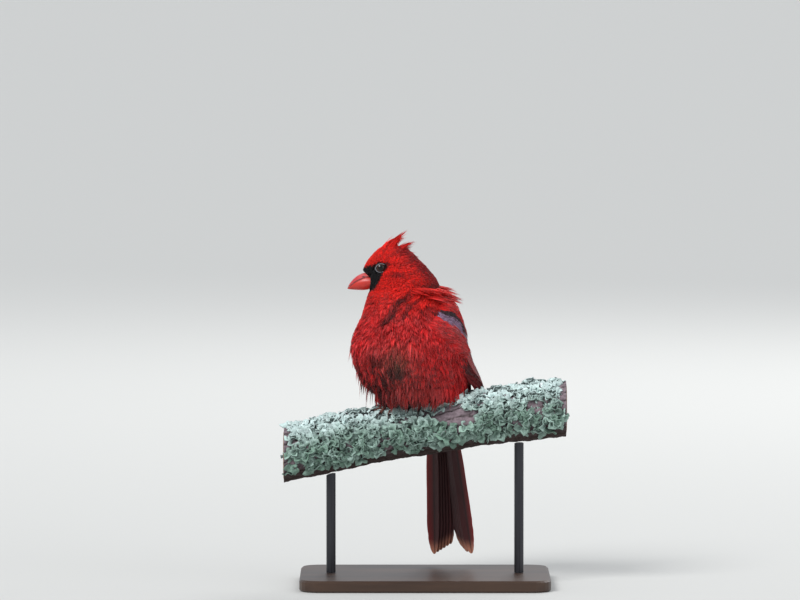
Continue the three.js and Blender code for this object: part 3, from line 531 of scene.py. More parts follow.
# %% Blades along paths
def strand_mesh(paths, across, out, widths, heights):
    """Blades along paths (tuft, strand, station, 3), each with its way across and out and its sizes."""
    stations = paths.shape[2]
    paths, across, out = (values.reshape(-1, stations, 3) for values in (paths, across, out))
    widths, heights = (values.reshape(-1, stations) for values in (widths, heights))
    count = len(paths)
    body = stations - 1
    left = paths[:, :body] - across[:, :body] * widths[:, :body, None]
    right = paths[:, :body] + across[:, :body] * widths[:, :body, None]
    ridge = paths[:, :body] + out[:, :body] * heights[:, :body, None]
    rings = np.stack([left, ridge, right], 2).reshape(count, body * 3, 3)
    points = np.concatenate([rings, paths[:, -1:]], 1)
    per = body * 3 + 1
    base = (np.arange(count) * per)[:, None, None]
    k = np.arange(body - 1)[:, None] * 3
    j = np.arange(3)[None, :]
    n = (j + 1) % 3
    quads = np.stack([k + j, k + n, k + n + 3, k + j + 3], -1).reshape(-1, 4)
    last = (body - 1) * 3
    tips = np.array([[last, last + 1, per - 1], [last + 1, last + 2, per - 1], [last + 2, last, per - 1]])
    root = np.array([[0, 2, 1]])
    quads = (quads[None] + base).reshape(-1, 4)
    tris = (np.concatenate([tips, root])[None] + base).reshape(-1, 3)
    to_ridge = points[0, 1] - points[0, 0]
    to_next = points[0, 3] - points[0, 0]
    if np.dot(np.cross(to_ridge, to_next), across[0, 0] - out[0, 0]) > 0:
        quads, tris = quads[:, ::-1], tris[:, ::-1]
    return points.reshape(-1, 3), [quads, tris]


def between(values, index, part):
    """Values along paths (tuft, station, 3), read for every strand at a part of the way past a station."""
    who = np.arange(len(values))[:, None, None]
    return values[who, index] * (1 - part) + values[who, index + 1] * part


def strand_stations(k):
    """The share of the length at each point of a blade: three points a station and one at the tip."""
    return np.append(np.repeat(k[:-1], 3), 1.0)


def strand_tints(colour, rosy_tip_and_painted_highlight, shade, tone):
    """Colours of strands: a ground for each tuft, pinker towards the tip, partly as a painted highlight, and
    darker by shade along its points, which is painted shade deep in the coat.
    """
    ground = np.broadcast_to(colour[:, None, None, :], (*tone.shape, len(shade), 3))
    tint = blend_colour(ground, ROSY_TIP_AND_PAINTED_HIGHLIGHT, rosy_tip_and_painted_highlight[:, None, :]) * shade[:, None] * tone[..., None, None]
    return np.clip(tint.reshape(-1, 3), 0, 1)


UV_PATCH = 0.003


def strand_uv(root_uv, u, station):
    """Each tuft's small patch of the unwrap, round the place of its root in the skin's unwrap."""
    corners = np.append(np.tile([-0.05, 0, 0.05], len(station) // 3), 0)
    aside = np.clip(u[..., None] * 0.5 + corners, -0.5, 0.5)
    ahead = np.broadcast_to(station, aside.shape) - 0.5
    uv = root_uv[:, None, None, :] + UV_PATCH * np.stack([aside, ahead], -1)
    return np.clip(uv, 0, 1).reshape(-1, 2)


STATIONS = np.array([0.0, 0.38, 0.76, 1.0])
TUFT_SHARES = [0, 0.3, 0.62, 0.85, 1]
print("a blade has points at", strand_stations(STATIONS).tolist())


# %% A coat of tufts
def share_of_length(p):
    """How much of its full length a tuft has: little at the face, all of it further back and down."""
    return 0.28 + 0.72 * np.maximum(rise(p[..., 0], -25, -8), rise(-p[..., 2], -204, -190))


def tuft_middles(z, a, length, lift, swing):
    """Steps each tuft along the body and out of the coat's depth. Gives middles and the body's normals."""
    depth = coat_depth(z)
    middles, normals = [], []
    before = 0.0
    for k in STATIONS:
        if k > 0:
            normal = body_normal(z, a)
            flow = lie_of_coat(body_point(z, a), normal)
            flow = flow + swing[:, None] * np.cross(normal, flow)
            z, a = step_along(z, a, unit(flow), length * (k - before))
            z = np.clip(z, LOW_Z + 0.6, HIGH_Z - 0.2)
            before = k
        level = -depth - 0.3 + (depth + 0.3) * 1.25 * rise(k, 0, 0.7)
        level = level - 0.25 * rise(k, 0.7, 1) + lift * k**2
        normals.append(body_normal(z, a))
        middles.append(body_point(z, a) + normals[-1] * level[:, None])
    return np.stack(middles, 1), np.stack(normals, 1)


def tuft_coat(name, roots, size, seed):
    """A coat of tufts. roots: heights and angles. size: length, half width, strands, lift, raggedness."""
    random = np.random.default_rng(seed)
    z0, a0 = roots
    length, half, strands, lift, ragged = size
    n = len(z0)
    share = share_of_length(body_point(z0, a0))
    length = length * share * random.uniform(0.85, 1.15, n)
    half = np.broadcast_to(half, n) * random.uniform(0.85, 1.15, n)
    lift = lift * share * random.uniform(0.75, 1.25, n)
    swing = random.normal(0, 0.13, n)
    centre, normals = tuft_middles(z0, a0, length, lift, swing)
    along = unit(np.gradient(centre, axis=1))
    across = unit(np.cross(along, normals))
    out = unit(np.cross(across, along))
    u = np.linspace(-1, 1, strands)[None, :] + random.uniform(-0.5, 0.5, (n, strands)) / strands
    reach = 1 - 0.22 * u**2 - ragged * random.random((n, strands))
    rough = random.uniform(-1, 1, (n, strands))
    k = STATIONS
    s = reach[..., None] * k
    index = np.clip(np.searchsorted(k, s, side="right") - 1, 0, len(k) - 2)
    part = ((s - k[index]) / (k[index + 1] - k[index]))[..., None]
    ways = unit(between(across, index, part))
    outs = unit(between(out, index, part))
    wide = half[:, None, None]
    side = u[..., None] * wide * np.interp(k, TUFT_SHARES, [0.22, 0.75, 1.0, 0.82, 0.45])
    bow = (0.12 * wide) * (1 - u[..., None] ** 2)
    loose = rough[..., None] * 0.22 * k * (0.4 + lift[:, None, None])
    paths = between(centre, index, part) + ways * side[..., None] + outs * (bow + loose)[..., None]
    width = (half / strands)[:, None, None] * np.interp(k, TUFT_SHARES, [1.5, 1.75, 1.6, 0.9, 0])
    width = np.broadcast_to(width, paths.shape[:3])
    points, faces = strand_mesh(paths, ways, outs, width, width * 0.55 + 0.05)
    colour = plumage(centre[:, 0] * 0.45 + centre[:, -1] * 0.55, random.uniform(-1, 1, n))
    tone = np.exp(random.normal(0, 0.13, n))[:, None] * np.exp(random.normal(0, 0.12, (n, strands)))
    rosy_tip_and_painted_highlight = rise(colour[:, 0], 0.06, 0.3) * rise(centre[:, 0, 2], 205, 190) * random.beta(1.3, 3.2, n)
    station = strand_stations(k)
    # Pinker tips, partly a painted highlight, and painted shade that darkens the strands towards the root.
    rosy_tip_and_painted_highlight = rosy_tip_and_painted_highlight[:, None] * rise(station, 0.45, 1.0) * 0.85
    tints = strand_tints(colour, rosy_tip_and_painted_highlight, 0.3 + 0.75 * rise(station, 0.05, 0.6), tone)
    return mesh_piece(name, points, faces, tints, strand_uv(surface_uv(z0, a0 % 360), u, station))


print("shortest tufts have", float(share_of_length(BILL_ROOT)), "of their full length")

# %% Where the tufts stand
RING_SAMPLES = 73


def scatter(low, high, spacing, keep, seed):
    """Roots in rows over the body, about a spacing apart, where keep(points, heights, angles) holds."""
    random = np.random.default_rng(seed)
    round_it = np.linspace(0, 360, RING_SAMPLES)
    few_round_it = np.arange(0, 360, 45)
    heights, angles = [], []
    z = low
    while z < high:
        girth = np.linalg.norm(np.diff(body_point(z, round_it), axis=0), axis=1)
        count = max(int(girth.sum() / spacing), 6)
        place = np.interp(
            (np.arange(count) + random.random()) / count * girth.sum(),
            np.concatenate([[0], np.cumsum(girth)]),
            round_it,
        )
        heights.append(z + random.uniform(-0.45, 0.45, count) * spacing)
        angles.append(place + random.uniform(-0.4, 0.4, count) * 360 * spacing / girth.sum())
        rise_of_ring = body_point(z + 0.5, few_round_it) - body_point(z - 0.5, few_round_it)
        z += spacing * 0.85 / max(np.linalg.norm(rise_of_ring, axis=1).mean(), 1)
    z = np.clip(np.concatenate(heights), LOW_Z + 0.8, HIGH_Z - 0.3)
    a = np.concatenate(angles) % 360
    wanted = keep(body_point(z, a), z, a)
    return z[wanted], a[wanted]


band = scatter(150, 160, 2.4, lambda p, z, a: z > 150, 1)
print("roots in a band 10 mm high, 2.4 mm apart:", len(band[0]))

# %% [markdown]
# The folded wing lies on a sheet that leaves the side of the body and hangs past the rump. Its outline has
# a leading edge, which the flank feathers cover, and a rear edge that lies over the back. No body feather
# grows under it, so the coat has to know where the wing is, and the wing's sheet comes first.

# %% The wing's sheet
# Rows of the sheet: height, how far the middle lies ahead, half depth, half width, power of its curve.
WING_ROWS = [
    [100, -12, 35, 40, 3],
    [112, -11, 36, 40, 3],
    [122, -10.5, 36.5, 41, 3],
    [133, -9, 37, 42, 3],
    [143, -5, 41, 39.5, 2.5],
    [152, -0.5, 42.3, 38, 2.2],
    [163, 2.8, 41, 38.2, 2],
    [171, 2.7, 38.6, 36.6, 2],
    [180, 1.5, 35.3, 33, 2],
    [190, 2, 32, 29.8, 2],
    [199, 4.5, 28, 25.5, 2],
]
# Edges of the wing: share of its length, angle round the body, height.
LEADING_EDGE = [
    [0, 57, 181], [0.2, 80, 175.5], [0.42, 106, 163], [0.62, 121, 147], [0.82, 131, 130], [1, 142, 113],
]
REAR_EDGE = [
    [0, 72, 190], [0.2, 106, 189], [0.42, 136, 176], [0.62, 151, 156], [0.82, 160, 134], [1, 161, 114],
]
WING_OUTLINE = np.array([row[1:] for row in LEADING_EDGE] + [row[1:] for row in REAR_EDGE[::-1]], float)
MM_PER_DEGREE = 0.65


def wing_place(side):
    """The wing's sheet: share of the length, share from leading to rear edge, lift from the body."""
    def place(s, t, lift):
        s, t, lift = np.broadcast_arrays(s, t, lift)
        front, rear = read_table(LEADING_EDGE, s), read_table(REAR_EDGE, s)
        angle = np.radians(front[..., 1] + (rear[..., 1] - front[..., 1]) * t)
        z = front[..., 2] + (rear[..., 2] - front[..., 2]) * t
        row = read_table(WING_ROWS, z)
        ahead, aside, power = np.cos(angle), np.sin(angle), row[..., 4]
        depth, width = row[..., 2] + lift, row[..., 3] + lift
        r = (np.abs(ahead / depth) ** power + np.abs(aside / width) ** power) ** (-1 / power)
        return np.stack([*beside_axis(row[..., 1] + r * ahead, side * r * aside), z], -1)

    return place


def to_side(angle):
    """An angle round the body as one from -180 to 180 degrees."""
    return (angle + 180) % 360 - 180


def off_the_wing(z, angle, margin):
    """Where the coat is free of both wings, but for a margin along their edges, in millimetres."""
    outline = WING_OUTLINE * np.array([MM_PER_DEGREE, 1])
    inside, edge = inside_outline(outline, np.abs(to_side(angle)) * MM_PER_DEGREE, z)
    return ~(inside & (edge > margin))


print("wing tip at", np.round(wing_place(1)(1.0, 0.3, 0.5), 1).tolist())

# %% [markdown]
# The coat is laid in pieces, each with its own length and density: very short on the face, longer down the
# neck, and long and loose on the breast, belly and flanks, where this bird is fluffed. The eye's opening and
# the bed of the bill stay free. A test for each piece says where its feathers grow.

# %% Where the coat grows
EYE = {
    "x": -30.0, "z": 216.9, "radius": 4.3, "depth": 3.3, "half_length": 3.5, "half_height": 2.75,
    "tilt": 14.0,
}
FACE_FEATHER = np.array([1.0, 0.0, 0.22])
FACE_EYE_MARGIN = 1.2
CROWN_EYE_MARGIN = 1.22
WING_MARGIN = 3.2


def eye_share(p):
    """How far a point lies from the middle of the eye, where 1 is the edge of the opening."""
    turn = math.radians(EYE["tilt"])
    dx, dz = p[..., 0] - EYE["x"], p[..., 2] - EYE["z"]
    u = dx * math.cos(turn) + dz * math.sin(turn)
    v = dz * math.cos(turn) - dx * math.sin(turn)
    return np.hypot(u / EYE["half_length"], v / EYE["half_height"])


def off_the_eye(p):
    """Free of the opening, also for the tip of a face feather that starts in front of it."""
    near = [eye_share(p + run * FACE_FEATHER) for run in (0, 1.3, 2.4)]
    return np.minimum.reduce(near) > FACE_EYE_MARGIN


def off_the_bill(p):
    beside, above = np.abs(p[..., 1] - HEAD_Y), np.abs(p[..., 2] - 207.6)
    return ~((p[..., 0] < -37.2) & (beside < 6.4) & (above < 5.4))


def on_face(p, z, a):
    return (p[..., 0] < -22) & (z > 200) & off_the_eye(p) & off_the_bill(p)


def on_head(p, z, a):
    return (p[..., 0] >= -22) & (z > 204) & (eye_share(p) > CROWN_EYE_MARGIN)


def on_neck(p, z, a):
    return (z > 188) & (z <= 206) & ~((p[..., 0] < -22) & (z > 203.5)) & off_the_bill(p)


def on_trunk(middle, half, low, high):
    def keep(p, z, a):
        turned = np.abs(to_side(a - middle)) <= half
        return turned & (z > low) & (z <= high) & off_the_wing(z, a, WING_MARGIN)

    return keep


print("the eye is", EYE["half_length"] * 2, "mm long in a ball of", EYE["radius"] * 2, "mm")

# %% The coat
# A name, the lowest and highest root, the spacing, the place, the size for tuft_coat, and the seed.
LOW_ROOT = LOW_Z + 1
COATS = [
    ("feathers_face", 198, 231.5, 0.85, on_face, (9, 0.75, 3, 0.5, 0.12), 31),
    ("feathers_crown_and_nape", 204, 231.5, 1.15, on_head, (7.5, 1.15, 5, 0.5, 0.34), 32),
    ("feathers_neck", 188, 206, 1.78, on_neck, (13, 1.9, 7, 0.9, 0.36), 33),
    ("feathers_breast", 150, 190, 2.35, on_trunk(0, 62, 152, 190), (16, 3.1, 10, 1.2, 0.38), 34),
    ("feathers_belly", LOW_ROOT, 154, 2.5, on_trunk(0, 62, LOW_Z, 152), (17, 3.1, 10, 1.2, 0.42), 35),
    ("feathers_left_flank", LOW_ROOT, 190, 2.4, on_trunk(94, 32, LOW_Z, 190), (16, 3.1, 10, 1.1, 0.38), 36),
    ("feathers_right_flank", LOW_ROOT, 190, 2.4, on_trunk(-94, 32, LOW_Z, 190), (16, 3.1, 10, 1.1, 0.38), 37),
    ("feathers_back", LOW_ROOT, 190, 2.5, on_trunk(180, 54, LOW_Z, 190), (15, 3.1, 9, 0.8, 0.32), 38),
]
coat = []
for title, low, high, spacing, keep, size, seed in COATS:
    coat.append(tuft_coat(title, scatter(low, high, spacing, keep, seed), size, seed))
tell(*coat)

# %% [markdown]
# The crest, the loose locks and the raised feathers are longer tufts on paths of their own, so that each can
# leave the body where it does on the bird. One function turns any set of paths into tufts, in the coat's
# colours or on a ground of their own.

# %% Locks along given paths
def frames_of(centres, outward):
    """The ways across and out of paths (lock, station, 3), from a rough way out."""
    along = unit(np.gradient(centres, axis=1))
    across = unit(np.cross(along, outward))
    return across, unit(np.cross(across, along))


def lock_mesh(name, paths, strands, ragged, seed, mix=0.5, ground=None):
    """Locks along paths: middles, ways across and out, half widths. mix: where their colour is read."""
    random = np.random.default_rng(seed)
    centres, across, out, half = paths
    n, stations = centres.shape[:2]
    k = np.linspace(0, 1, stations)
    u = np.linspace(-1, 1, strands)[None, :] + random.uniform(-0.4, 0.4, (n, strands)) / strands
    reach = 1 - 0.25 * np.abs(u) ** 1.5 - ragged * random.random((n, strands))
    place = reach[..., None] * k * (stations - 1)
    index = np.clip(place.astype(int), 0, stations - 2)
    part = (place - index)[..., None]
    wide = half[:, None, None]
    spread = 0.45 + 0.75 * np.sin(np.pi * np.clip(k * 0.8 + 0.05, 0, 1)) - 0.35 * k**2
    ways, outs = unit(between(across, index, part)), unit(between(out, index, part))
    loose = random.uniform(-1, 1, (n, strands, 1)) * 0.16 * wide * k
    bow = 0.18 * wide * (1 - u[..., None] ** 2)
    middles = between(centres, index, part) + ways * (u[..., None] * wide * spread)[..., None]
    middles = middles + outs * (loose + bow)[..., None]
    width = (half / strands)[:, None, None] * np.interp(k, [0, 0.5, 0.8, 1], [1.5, 1.7, 0.9, 0])
    width = np.broadcast_to(width, middles.shape[:3])
    points, faces = strand_mesh(middles, ways, outs, width, width * 0.6 + 0.06)
    colour = plumage(centres[:, 0] * (1 - mix) + centres[:, -1] * mix, random.uniform(-1, 1, n))
    if ground is not None:
        colour = np.broadcast_to(ground, (n, 3))
    tone = np.exp(random.normal(0, 0.14, (n, 1))) * np.exp(random.normal(0, 0.2, (n, strands)))
    root = centres[:, 0]
    rosy_tip_and_painted_highlight = rise(root[:, 2], 208, 196) * random.beta(1.4, 2.4, n) * (1.0 if ground is None else 0.3)
    rosy_tip_and_painted_highlight = rosy_tip_and_painted_highlight * rise(colour[:, 0], 0.04, 0.25)
    station = strand_stations(k)
    # Pinker tips, partly a painted highlight, and painted shade that darkens the strands towards the root.
    rosy_tip_and_painted_highlight = rosy_tip_and_painted_highlight[:, None] * rise(station, 0.35, 1.0) * 0.9
    tints = strand_tints(colour, rosy_tip_and_painted_highlight, 0.45 + 0.6 * rise(station, 0, 0.45), tone)
    turn = np.degrees(np.arctan2(root[:, 1] - BODY_AXIS[1], root[:, 0] - BODY_AXIS[0])) - BODY_HEADING
    root_uv = surface_uv(np.clip(root[:, 2], LOW_Z, HIGH_Z), turn % 360)
    return mesh_piece(name, points, faces, tints, strand_uv(root_uv, u, station))


print("a lock of six stations has", len(strand_stations(np.zeros(6))), "points a strand")

# %% [markdown]
# The crest is made feather by feather from a short table: where each grows on the crown and where its tip
# ends, as seen from the side, with how far it stands to each side. Every row gives a small fan of slender
# feathers, each of several strands, so the peak stays one swept point with loose wisps behind it.

# %% Crest
CREST = [
    {"root": [-37.5, 220.5], "tip": [-22.5, 234.0], "side": 0, "spread": 0, "half": 2.0},
    {"root": [-35, 223.5], "tip": [-17.5, 237.6], "side": 1.6, "spread": 0.8, "half": 1.9},
    {"root": [-32, 225.5], "tip": [-12.4, 241.2], "side": 0, "spread": 0, "half": 1.6},
    {"root": [-31, 224.5], "tip": [-10.4, 243.2], "side": 2.8, "spread": 0.4, "half": 1.4},
    {"root": [-30, 227.5], "tip": [-13.6, 239.8], "side": 1.2, "spread": 0.3, "half": 2.1},
    {"root": [-27, 228.5], "tip": [-12.4, 237.6], "side": 2.4, "spread": 0.8, "half": 2.0},
    {"root": [-28, 227], "tip": [-15.6, 237.2], "side": 3.6, "spread": 1.6, "half": 1.9},
    {"root": [-24, 227], "tip": [-4.4, 234.6], "side": 3, "spread": 1.8, "half": 1.2},
    {"root": [-22, 225.5], "tip": [-8.8, 231.6], "side": 5, "spread": 3.4, "half": 1.6},
    {"root": [-20, 226.5], "tip": [-7.6, 229.8], "side": 0, "spread": 0, "half": 1.8},
    {"root": [-18, 223.5], "tip": [-6.6, 226.3], "side": 5, "spread": 3.6, "half": 1.9},
    {"root": [-16, 222], "tip": [-3, 223.2], "side": 2.2, "spread": 1.6, "half": 1.9},
]
CREST_COPIES = 11
CREST_STATIONS = 7
CREST_BOW = 6.0


def crest_paths(seed):
    random = np.random.default_rng(seed)
    k = np.linspace(0, 1, CREST_STATIONS)[:, None]
    paths = []
    for row in CREST:
        for side in [0] if row["side"] == 0 else [1, -1]:
            for copy in range(CREST_COPIES):
                root = np.array([row["root"][0], HEAD_Y - side * row["side"], row["root"][1]])
                tip = np.array([row["tip"][0], HEAD_Y - side * row["spread"], row["tip"][1]])
                root = root + random.normal(0, 0.8, 3) * [1, 0.9, 0.4] - [0, 0, 1.4]
                stray = random.normal(0, 0.35 + 1.1 * copy / CREST_COPIES, 3) * [1, 0.6, 0.8]
                shorter = (tip - root) * 0.25 * random.random() * copy / CREST_COPIES
                tip = tip + stray - shorter
                along = unit(tip - root)
                ways = np.array([0.0, 1.0, 0.0]) + random.normal(0, 0.35, 3)
                ways = unit(ways - (ways @ along) * along)
                normal = unit(np.cross(ways, along))
                if normal[2] < 0:
                    normal, ways = -normal, -ways
                bow = CREST_BOW * k * (1 - k) * random.uniform(0.6, 1.2)
                middles = root + (tip - root) * k + normal * bow
                half = row["half"] * random.uniform(0.55, 0.95)
                frames = [np.tile(way, (CREST_STATIONS, 1)) for way in (ways, normal)]
                paths.append((middles, *frames, half))
    return [np.array(values) for values in zip(*paths)]


crest = lock_mesh("feathers_crest", crest_paths(41), 7, 0.3, 42, mix=0.3)
coat.append(crest)
tell(crest)

# %% [markdown]
# Rows of loose locks give the ragged steps in the outline: three at the breast, five round the belly, four
# of fine locks at the bird's right and two under the wings. They run down the body, lift off it at the tip,
# and hang free below the place where they leave it.

# %% Rows of locks
LOCK_KEYS = ["count", "from", "to", "root", "tip", "lift", "half", "hang", "leave", "seed"]
LOCK_ROWS = [
    (26, -70, 40, 196, 176, 1.6, 1.9, 0, 14, 50),
    (30, -78, 62, 181, 160, 2.6, 2.1, 0, 13, 51),
    (36, -76, 60, 172, 152, 3.2, 2.0, 0, 12, 52),
    (46, -100, 118, 160, 138, 2.2, 2.0, 0, 99, 53),
    (50, -100, 122, 151, 128, 1.9, 2.0, 9, 99, 54),
    (56, -100, 112, 143, 120.5, 0.8, 2.4, 9, 99, 55),
    (60, -95, 118, 139, 120, -3.0, 2.6, 9, 99, 56),
    (50, -92, 95, 136, 118.5, -9, 2.8, 9, 99, 57),
    (26, -92, -8, 166, 147, 0.9, 1.2, 0, 9, 58),
    (28, -92, -8, 156, 136, 0.7, 1.2, 0, 8, 59),
    (26, -92, -8, 148, 127, 0.5, 1.2, 0, 7, 60),
    (26, -88, -4, 141, 120, 0.5, 1.3, 0, 8, 65),
    (22, 104, 158, 143, 117, 1.0, 2.8, 9, 99, 63),
    (22, -158, -104, 143, 117, 1.0, 2.8, 9, 99, 64),
]
LOCKS = [dict(zip(LOCK_KEYS, row)) for row in LOCK_ROWS]
HANG_FROM = 3.5
LOOSE_TIPS = 20


def fringe_paths(row):
    random = np.random.default_rng(row["seed"])
    n = row["count"]
    angle = np.linspace(row["from"], row["to"], n) + random.uniform(-2.2, 2.2, n)
    root = row["root"] + random.uniform(-4, 4, n)
    tip = row["tip"] + random.uniform(-3, 7.5 if row["leave"] < LOOSE_TIPS else 4, n)
    drift = random.normal(0, 3, n)
    k = np.linspace(0, 1, 6)
    z = root[:, None] + (tip - root)[:, None] * k
    turned = angle[:, None] + drift[:, None] * k
    level = -3.2 + 3.4 * rise(k, 0, 0.55) + row["lift"] * k**2 * random.uniform(0.5, 1.3, (n, 1))
    hang = (row["hang"] - HANG_FROM) * rise(turned, -50, 40) * (row["hang"] > 0)
    fall_from = np.maximum(LOW_Z + HANG_FROM + hang, root[:, None] - row["leave"])
    on_body = np.clip(z, fall_from, HIGH_Z)
    centres = body_point(on_body, turned, level)
    centres[..., 2] = z
    across, out = frames_of(centres, body_normal(on_body, turned))
    return centres, across, out, row["half"] * random.uniform(0.75, 1.25, n)


fringes = []
for row in LOCKS:
    fringes.append(lock_mesh("feathers_fringe_%d" % row["seed"], fringe_paths(row), 10, 0.34, row["seed"]))
coat += fringes
tell(*fringes)

# %% [markdown]
# A fan of raised feathers stands off the shoulder over the wing, more on the side that the camera sees. The
# small soft feathers of the wing itself lie on the wing's sheet below it, dark along its upper edge, then
# purple-grey, then red again. All of them are locks on paths.

# %% Feathers of the shoulder and on the wing
SHOULDER = {"count": 72, "from": 64.0, "to": 150.0, "z": 204.2, "reach": 19.5, "half": 2.7}
WING_GREY = linear([150, 126, 156])
WING_DARK = linear([58, 34, 42])
UNDER_WING = linear([92, 16, 20])
WING_COAT_KEYS = ["s", "t", "run", "lift", "half", "count", "ground"]
WING_COAT_ROWS = [
    ([0.0, 0.3], [0.5, 0.98], [0.14, -0.04], [-1.4, 1.3], 2.0, 110, WING_DARK),
    ([0.0, 0.13], [0.08, 0.6], [0.13, -0.02], [-1.4, 1.2], 1.9, 80, WING_GREY),
    ([0.12, 0.27], [0.08, 0.6], [0.14, 0.0], [-1.2, 1.2], 2.1, 70, WING_GREY),
    ([0.0, 0.36], [0.86, 1.2], [0.17, -0.08], [-0.6, 2.0], 2.6, 100, None),
    ([0.0, 0.38], [-0.34, 0.14], [0.16, 0.12], [-1.6, 2.3], 2.6, 150, None),
    ([0.36, 0.7], [-0.6, -0.2], [0.16, 0.05], [-3.0, -1.0], 2.6, 100, UNDER_WING),
]
WING_COAT = [dict(zip(WING_COAT_KEYS, row)) for row in WING_COAT_ROWS]


def sheet_paths(side, row, seed):
    """Soft feathers on the wing's sheet: where they start, how far they run, and their lift at each end."""
    random = np.random.default_rng(seed)
    place = wing_place(side)
    n = row["count"]
    low, high = row["lift"]
    k = np.linspace(0, 1, 5)
    share = random.uniform(0.8, 1.15, (n, 1)) * k
    s = np.clip(random.uniform(*row["s"], (n, 1)) + row["run"][0] * share, 0, 1)
    t = random.uniform(*row["t"], (n, 1)) + (row["run"][1] + random.normal(0, 0.03, (n, 1))) * share
    level = low + (high - low) * random.uniform(0.8, 1.15, (n, 1)) * rise(k, -0.2, 1.1)
    centres = place(s, t, level)
    across, out = frames_of(centres, unit(place(s, t, level + 1) - centres))
    return centres, across, out, row["half"] * random.uniform(0.75, 1.2, n)


def shoulder_paths(side, seed):
    """Raised feathers of the mantle, fully raised on the bird's left and half down on its right."""
    random = np.random.default_rng(seed)
    raised, lower = (1.0, 0) if side > 0 else (0.4, 3.5)
    n = SHOULDER["count"]
    angle = side * np.linspace(SHOULDER["from"], SHOULDER["to"], n)
    z = SHOULDER["z"] - lower - random.uniform(0, 9, n)
    root = body_point(z, angle, -2.4)
    outward = unit(body_point(z, angle + side * 12, 8) - body_point(z, angle, 0))
    fall = np.array([0, 0, -1.0]) + 0.3 * outward
    along = unit(outward * raised + fall * (1.2 - raised))
    reach = SHOULDER["reach"] * random.uniform(0.7, 1.05, n) * (0.45 + 0.55 * raised)
    k = np.linspace(0, 1, 5)
    centres = root[:, None] + along[:, None] * reach[:, None, None] * k[None, :, None]
    centres[..., 2] += -1.6 * raised * k**2 + random.uniform(-0.6, 1.4, (n, 1)) * k
    across, out = frames_of(centres, np.repeat((np.array([0, 0, 1.0]) + 0.6 * outward)[:, None], 5, 1))
    return centres, across, out, SHOULDER["half"] * random.uniform(0.7, 1.15, n)


raised_feathers = []
for title, side, seed in (("left", 1, 61), ("right", -1, 62)):
    name = "feathers_%s_shoulder" % title
    raised_feathers.append(lock_mesh(name, shoulder_paths(side, seed), 12, 0.4, seed))
    for i, row in enumerate(WING_COAT):
        name = "feathers_on_%s_wing_%d" % (title, i + 1)
        paths = sheet_paths(side, row, seed + 10 * i)
        raised_feathers.append(lock_mesh(name, paths, 11, 0.3, seed + i, ground=row["ground"]))
coat += raised_feathers
tell(*raised_feathers)

# %% [markdown]
# Flight and tail feathers are vanes: a stiff shaft with a web on each side, a little hollow below, rounded
# at the tip and slightly frayed. A closed grid, top and underside, gives each vane its real thinness. The
# outer web is narrower. Its own UV map runs across and along the feather, so the finish can draw barbs.

# %% A vane
VANE_ROWS = 26
VANE_COLUMNS = 9
OUTER_WEB = 0.8
SHAFT_SHARE = 0.13


def vane_faces(points, face):
    """The closed grid of a vane, turned so that its top looks the way of face."""
    wide = VANE_COLUMNS * 2
    last = (VANE_ROWS - 1) * wide
    caps = []
    for j in range(VANE_COLUMNS - 1):
        caps.append([j, wide - 1 - j, wide - 2 - j, j + 1])
        caps.append([last + j, last + j + 1, last + wide - 2 - j, last + wide - 1 - j])
    faces = np.concatenate([grid_faces(VANE_ROWS, wide, True), np.array(caps)])
    normal = np.cross(points[1] - points[0], points[wide] - points[0])
    return faces[:, ::-1] if normal @ face > 0 else faces


def vane(place, start, end, size, colours, seed, lead=1):
    """One feather on a curved sheet. start and end: shares along and across. size: half width, two lifts,
    tilt in degrees, thickness. lead: which side is the outer web. Gives points, faces, colours and UV."""
    random = np.random.default_rng(seed)
    half, low_lift, high_lift, tilt, thickness = size
    k = np.sin(np.linspace(0, np.pi / 2, VANE_ROWS))
    round_tip = (1 - np.clip((k - 0.78) / 0.22, 0, 1) ** 2) ** 0.5
    shape = np.interp(k, [0, 0.12, 0.4, 0.8], [0.32, 0.62, 0.97, 1.0]) * np.maximum(round_tip, 0.06)
    s = start[0] + (end[0] - start[0]) * k
    t = start[1] + (end[1] - start[1]) * k
    lift = low_lift + (high_lift - low_lift) * k
    centre = place(s, t, lift)
    along = unit(np.gradient(centre, k, axis=0))
    out = unit(place(s, t, lift + 0.5) - centre)
    across = unit(np.cross(along, out))
    out = unit(np.cross(across, along))
    turn = math.radians(tilt)
    ways = across * math.cos(turn) + out * math.sin(turn)
    face = out * math.cos(turn) - across * math.sin(turn)
    u = np.linspace(-1, 1, VANE_COLUMNS)
    outer = u * lead
    frayed = 1 - 0.1 * (random.random((VANE_ROWS, 2)) ** 3) * rise(k, 0.3, 0.9)[:, None]
    reach = np.where(outer > 0, OUTER_WEB, 1.0)[None, :] * np.where(u < 0, frayed[:, :1], frayed[:, 1:])
    side = u[None, :] * half * shape[:, None] * reach
    ridge = 0.24 * thickness * np.exp(-((u[None, :] / 0.12) ** 2)) * (1.3 - k[:, None])
    cup = -0.1 * half * u[None, :] ** 2 + ridge
    middle = centre[:, None] + ways[:, None] * side[..., None] + face[:, None] * cup[..., None]
    thick = thickness * (0.28 + 0.5 * np.exp(-((u / SHAFT_SHARE) ** 2)))[None, :] * (1.15 - 0.55 * k[:, None])
    top = middle + face[:, None] * (thick / 2)[..., None]
    under = middle - face[:, None] * (thick / 2)[..., None]
    points = np.concatenate([top, under[:, ::-1]], 1).reshape(-1, 3)
    uu, kk = np.meshgrid(np.concatenate([outer, outer[::-1]]), k)
    tint = colours(uu, kk) * np.exp(random.normal(0, 0.07))
    uv = np.stack([0.5 + 0.48 * uu, kk], -1)
    return points, [vane_faces(points, face[0])], tint.reshape(-1, 3), uv.reshape(-1, 2)


WING_DUSKY = linear([46, 22, 27])
WING_PURPLE = linear([128, 96, 122])
WING_EDGE = linear([168, 34, 34])
SHAFT = linear([30, 16, 16])


def shaft_at(u):
    return np.exp(-((u / 0.07) ** 2))


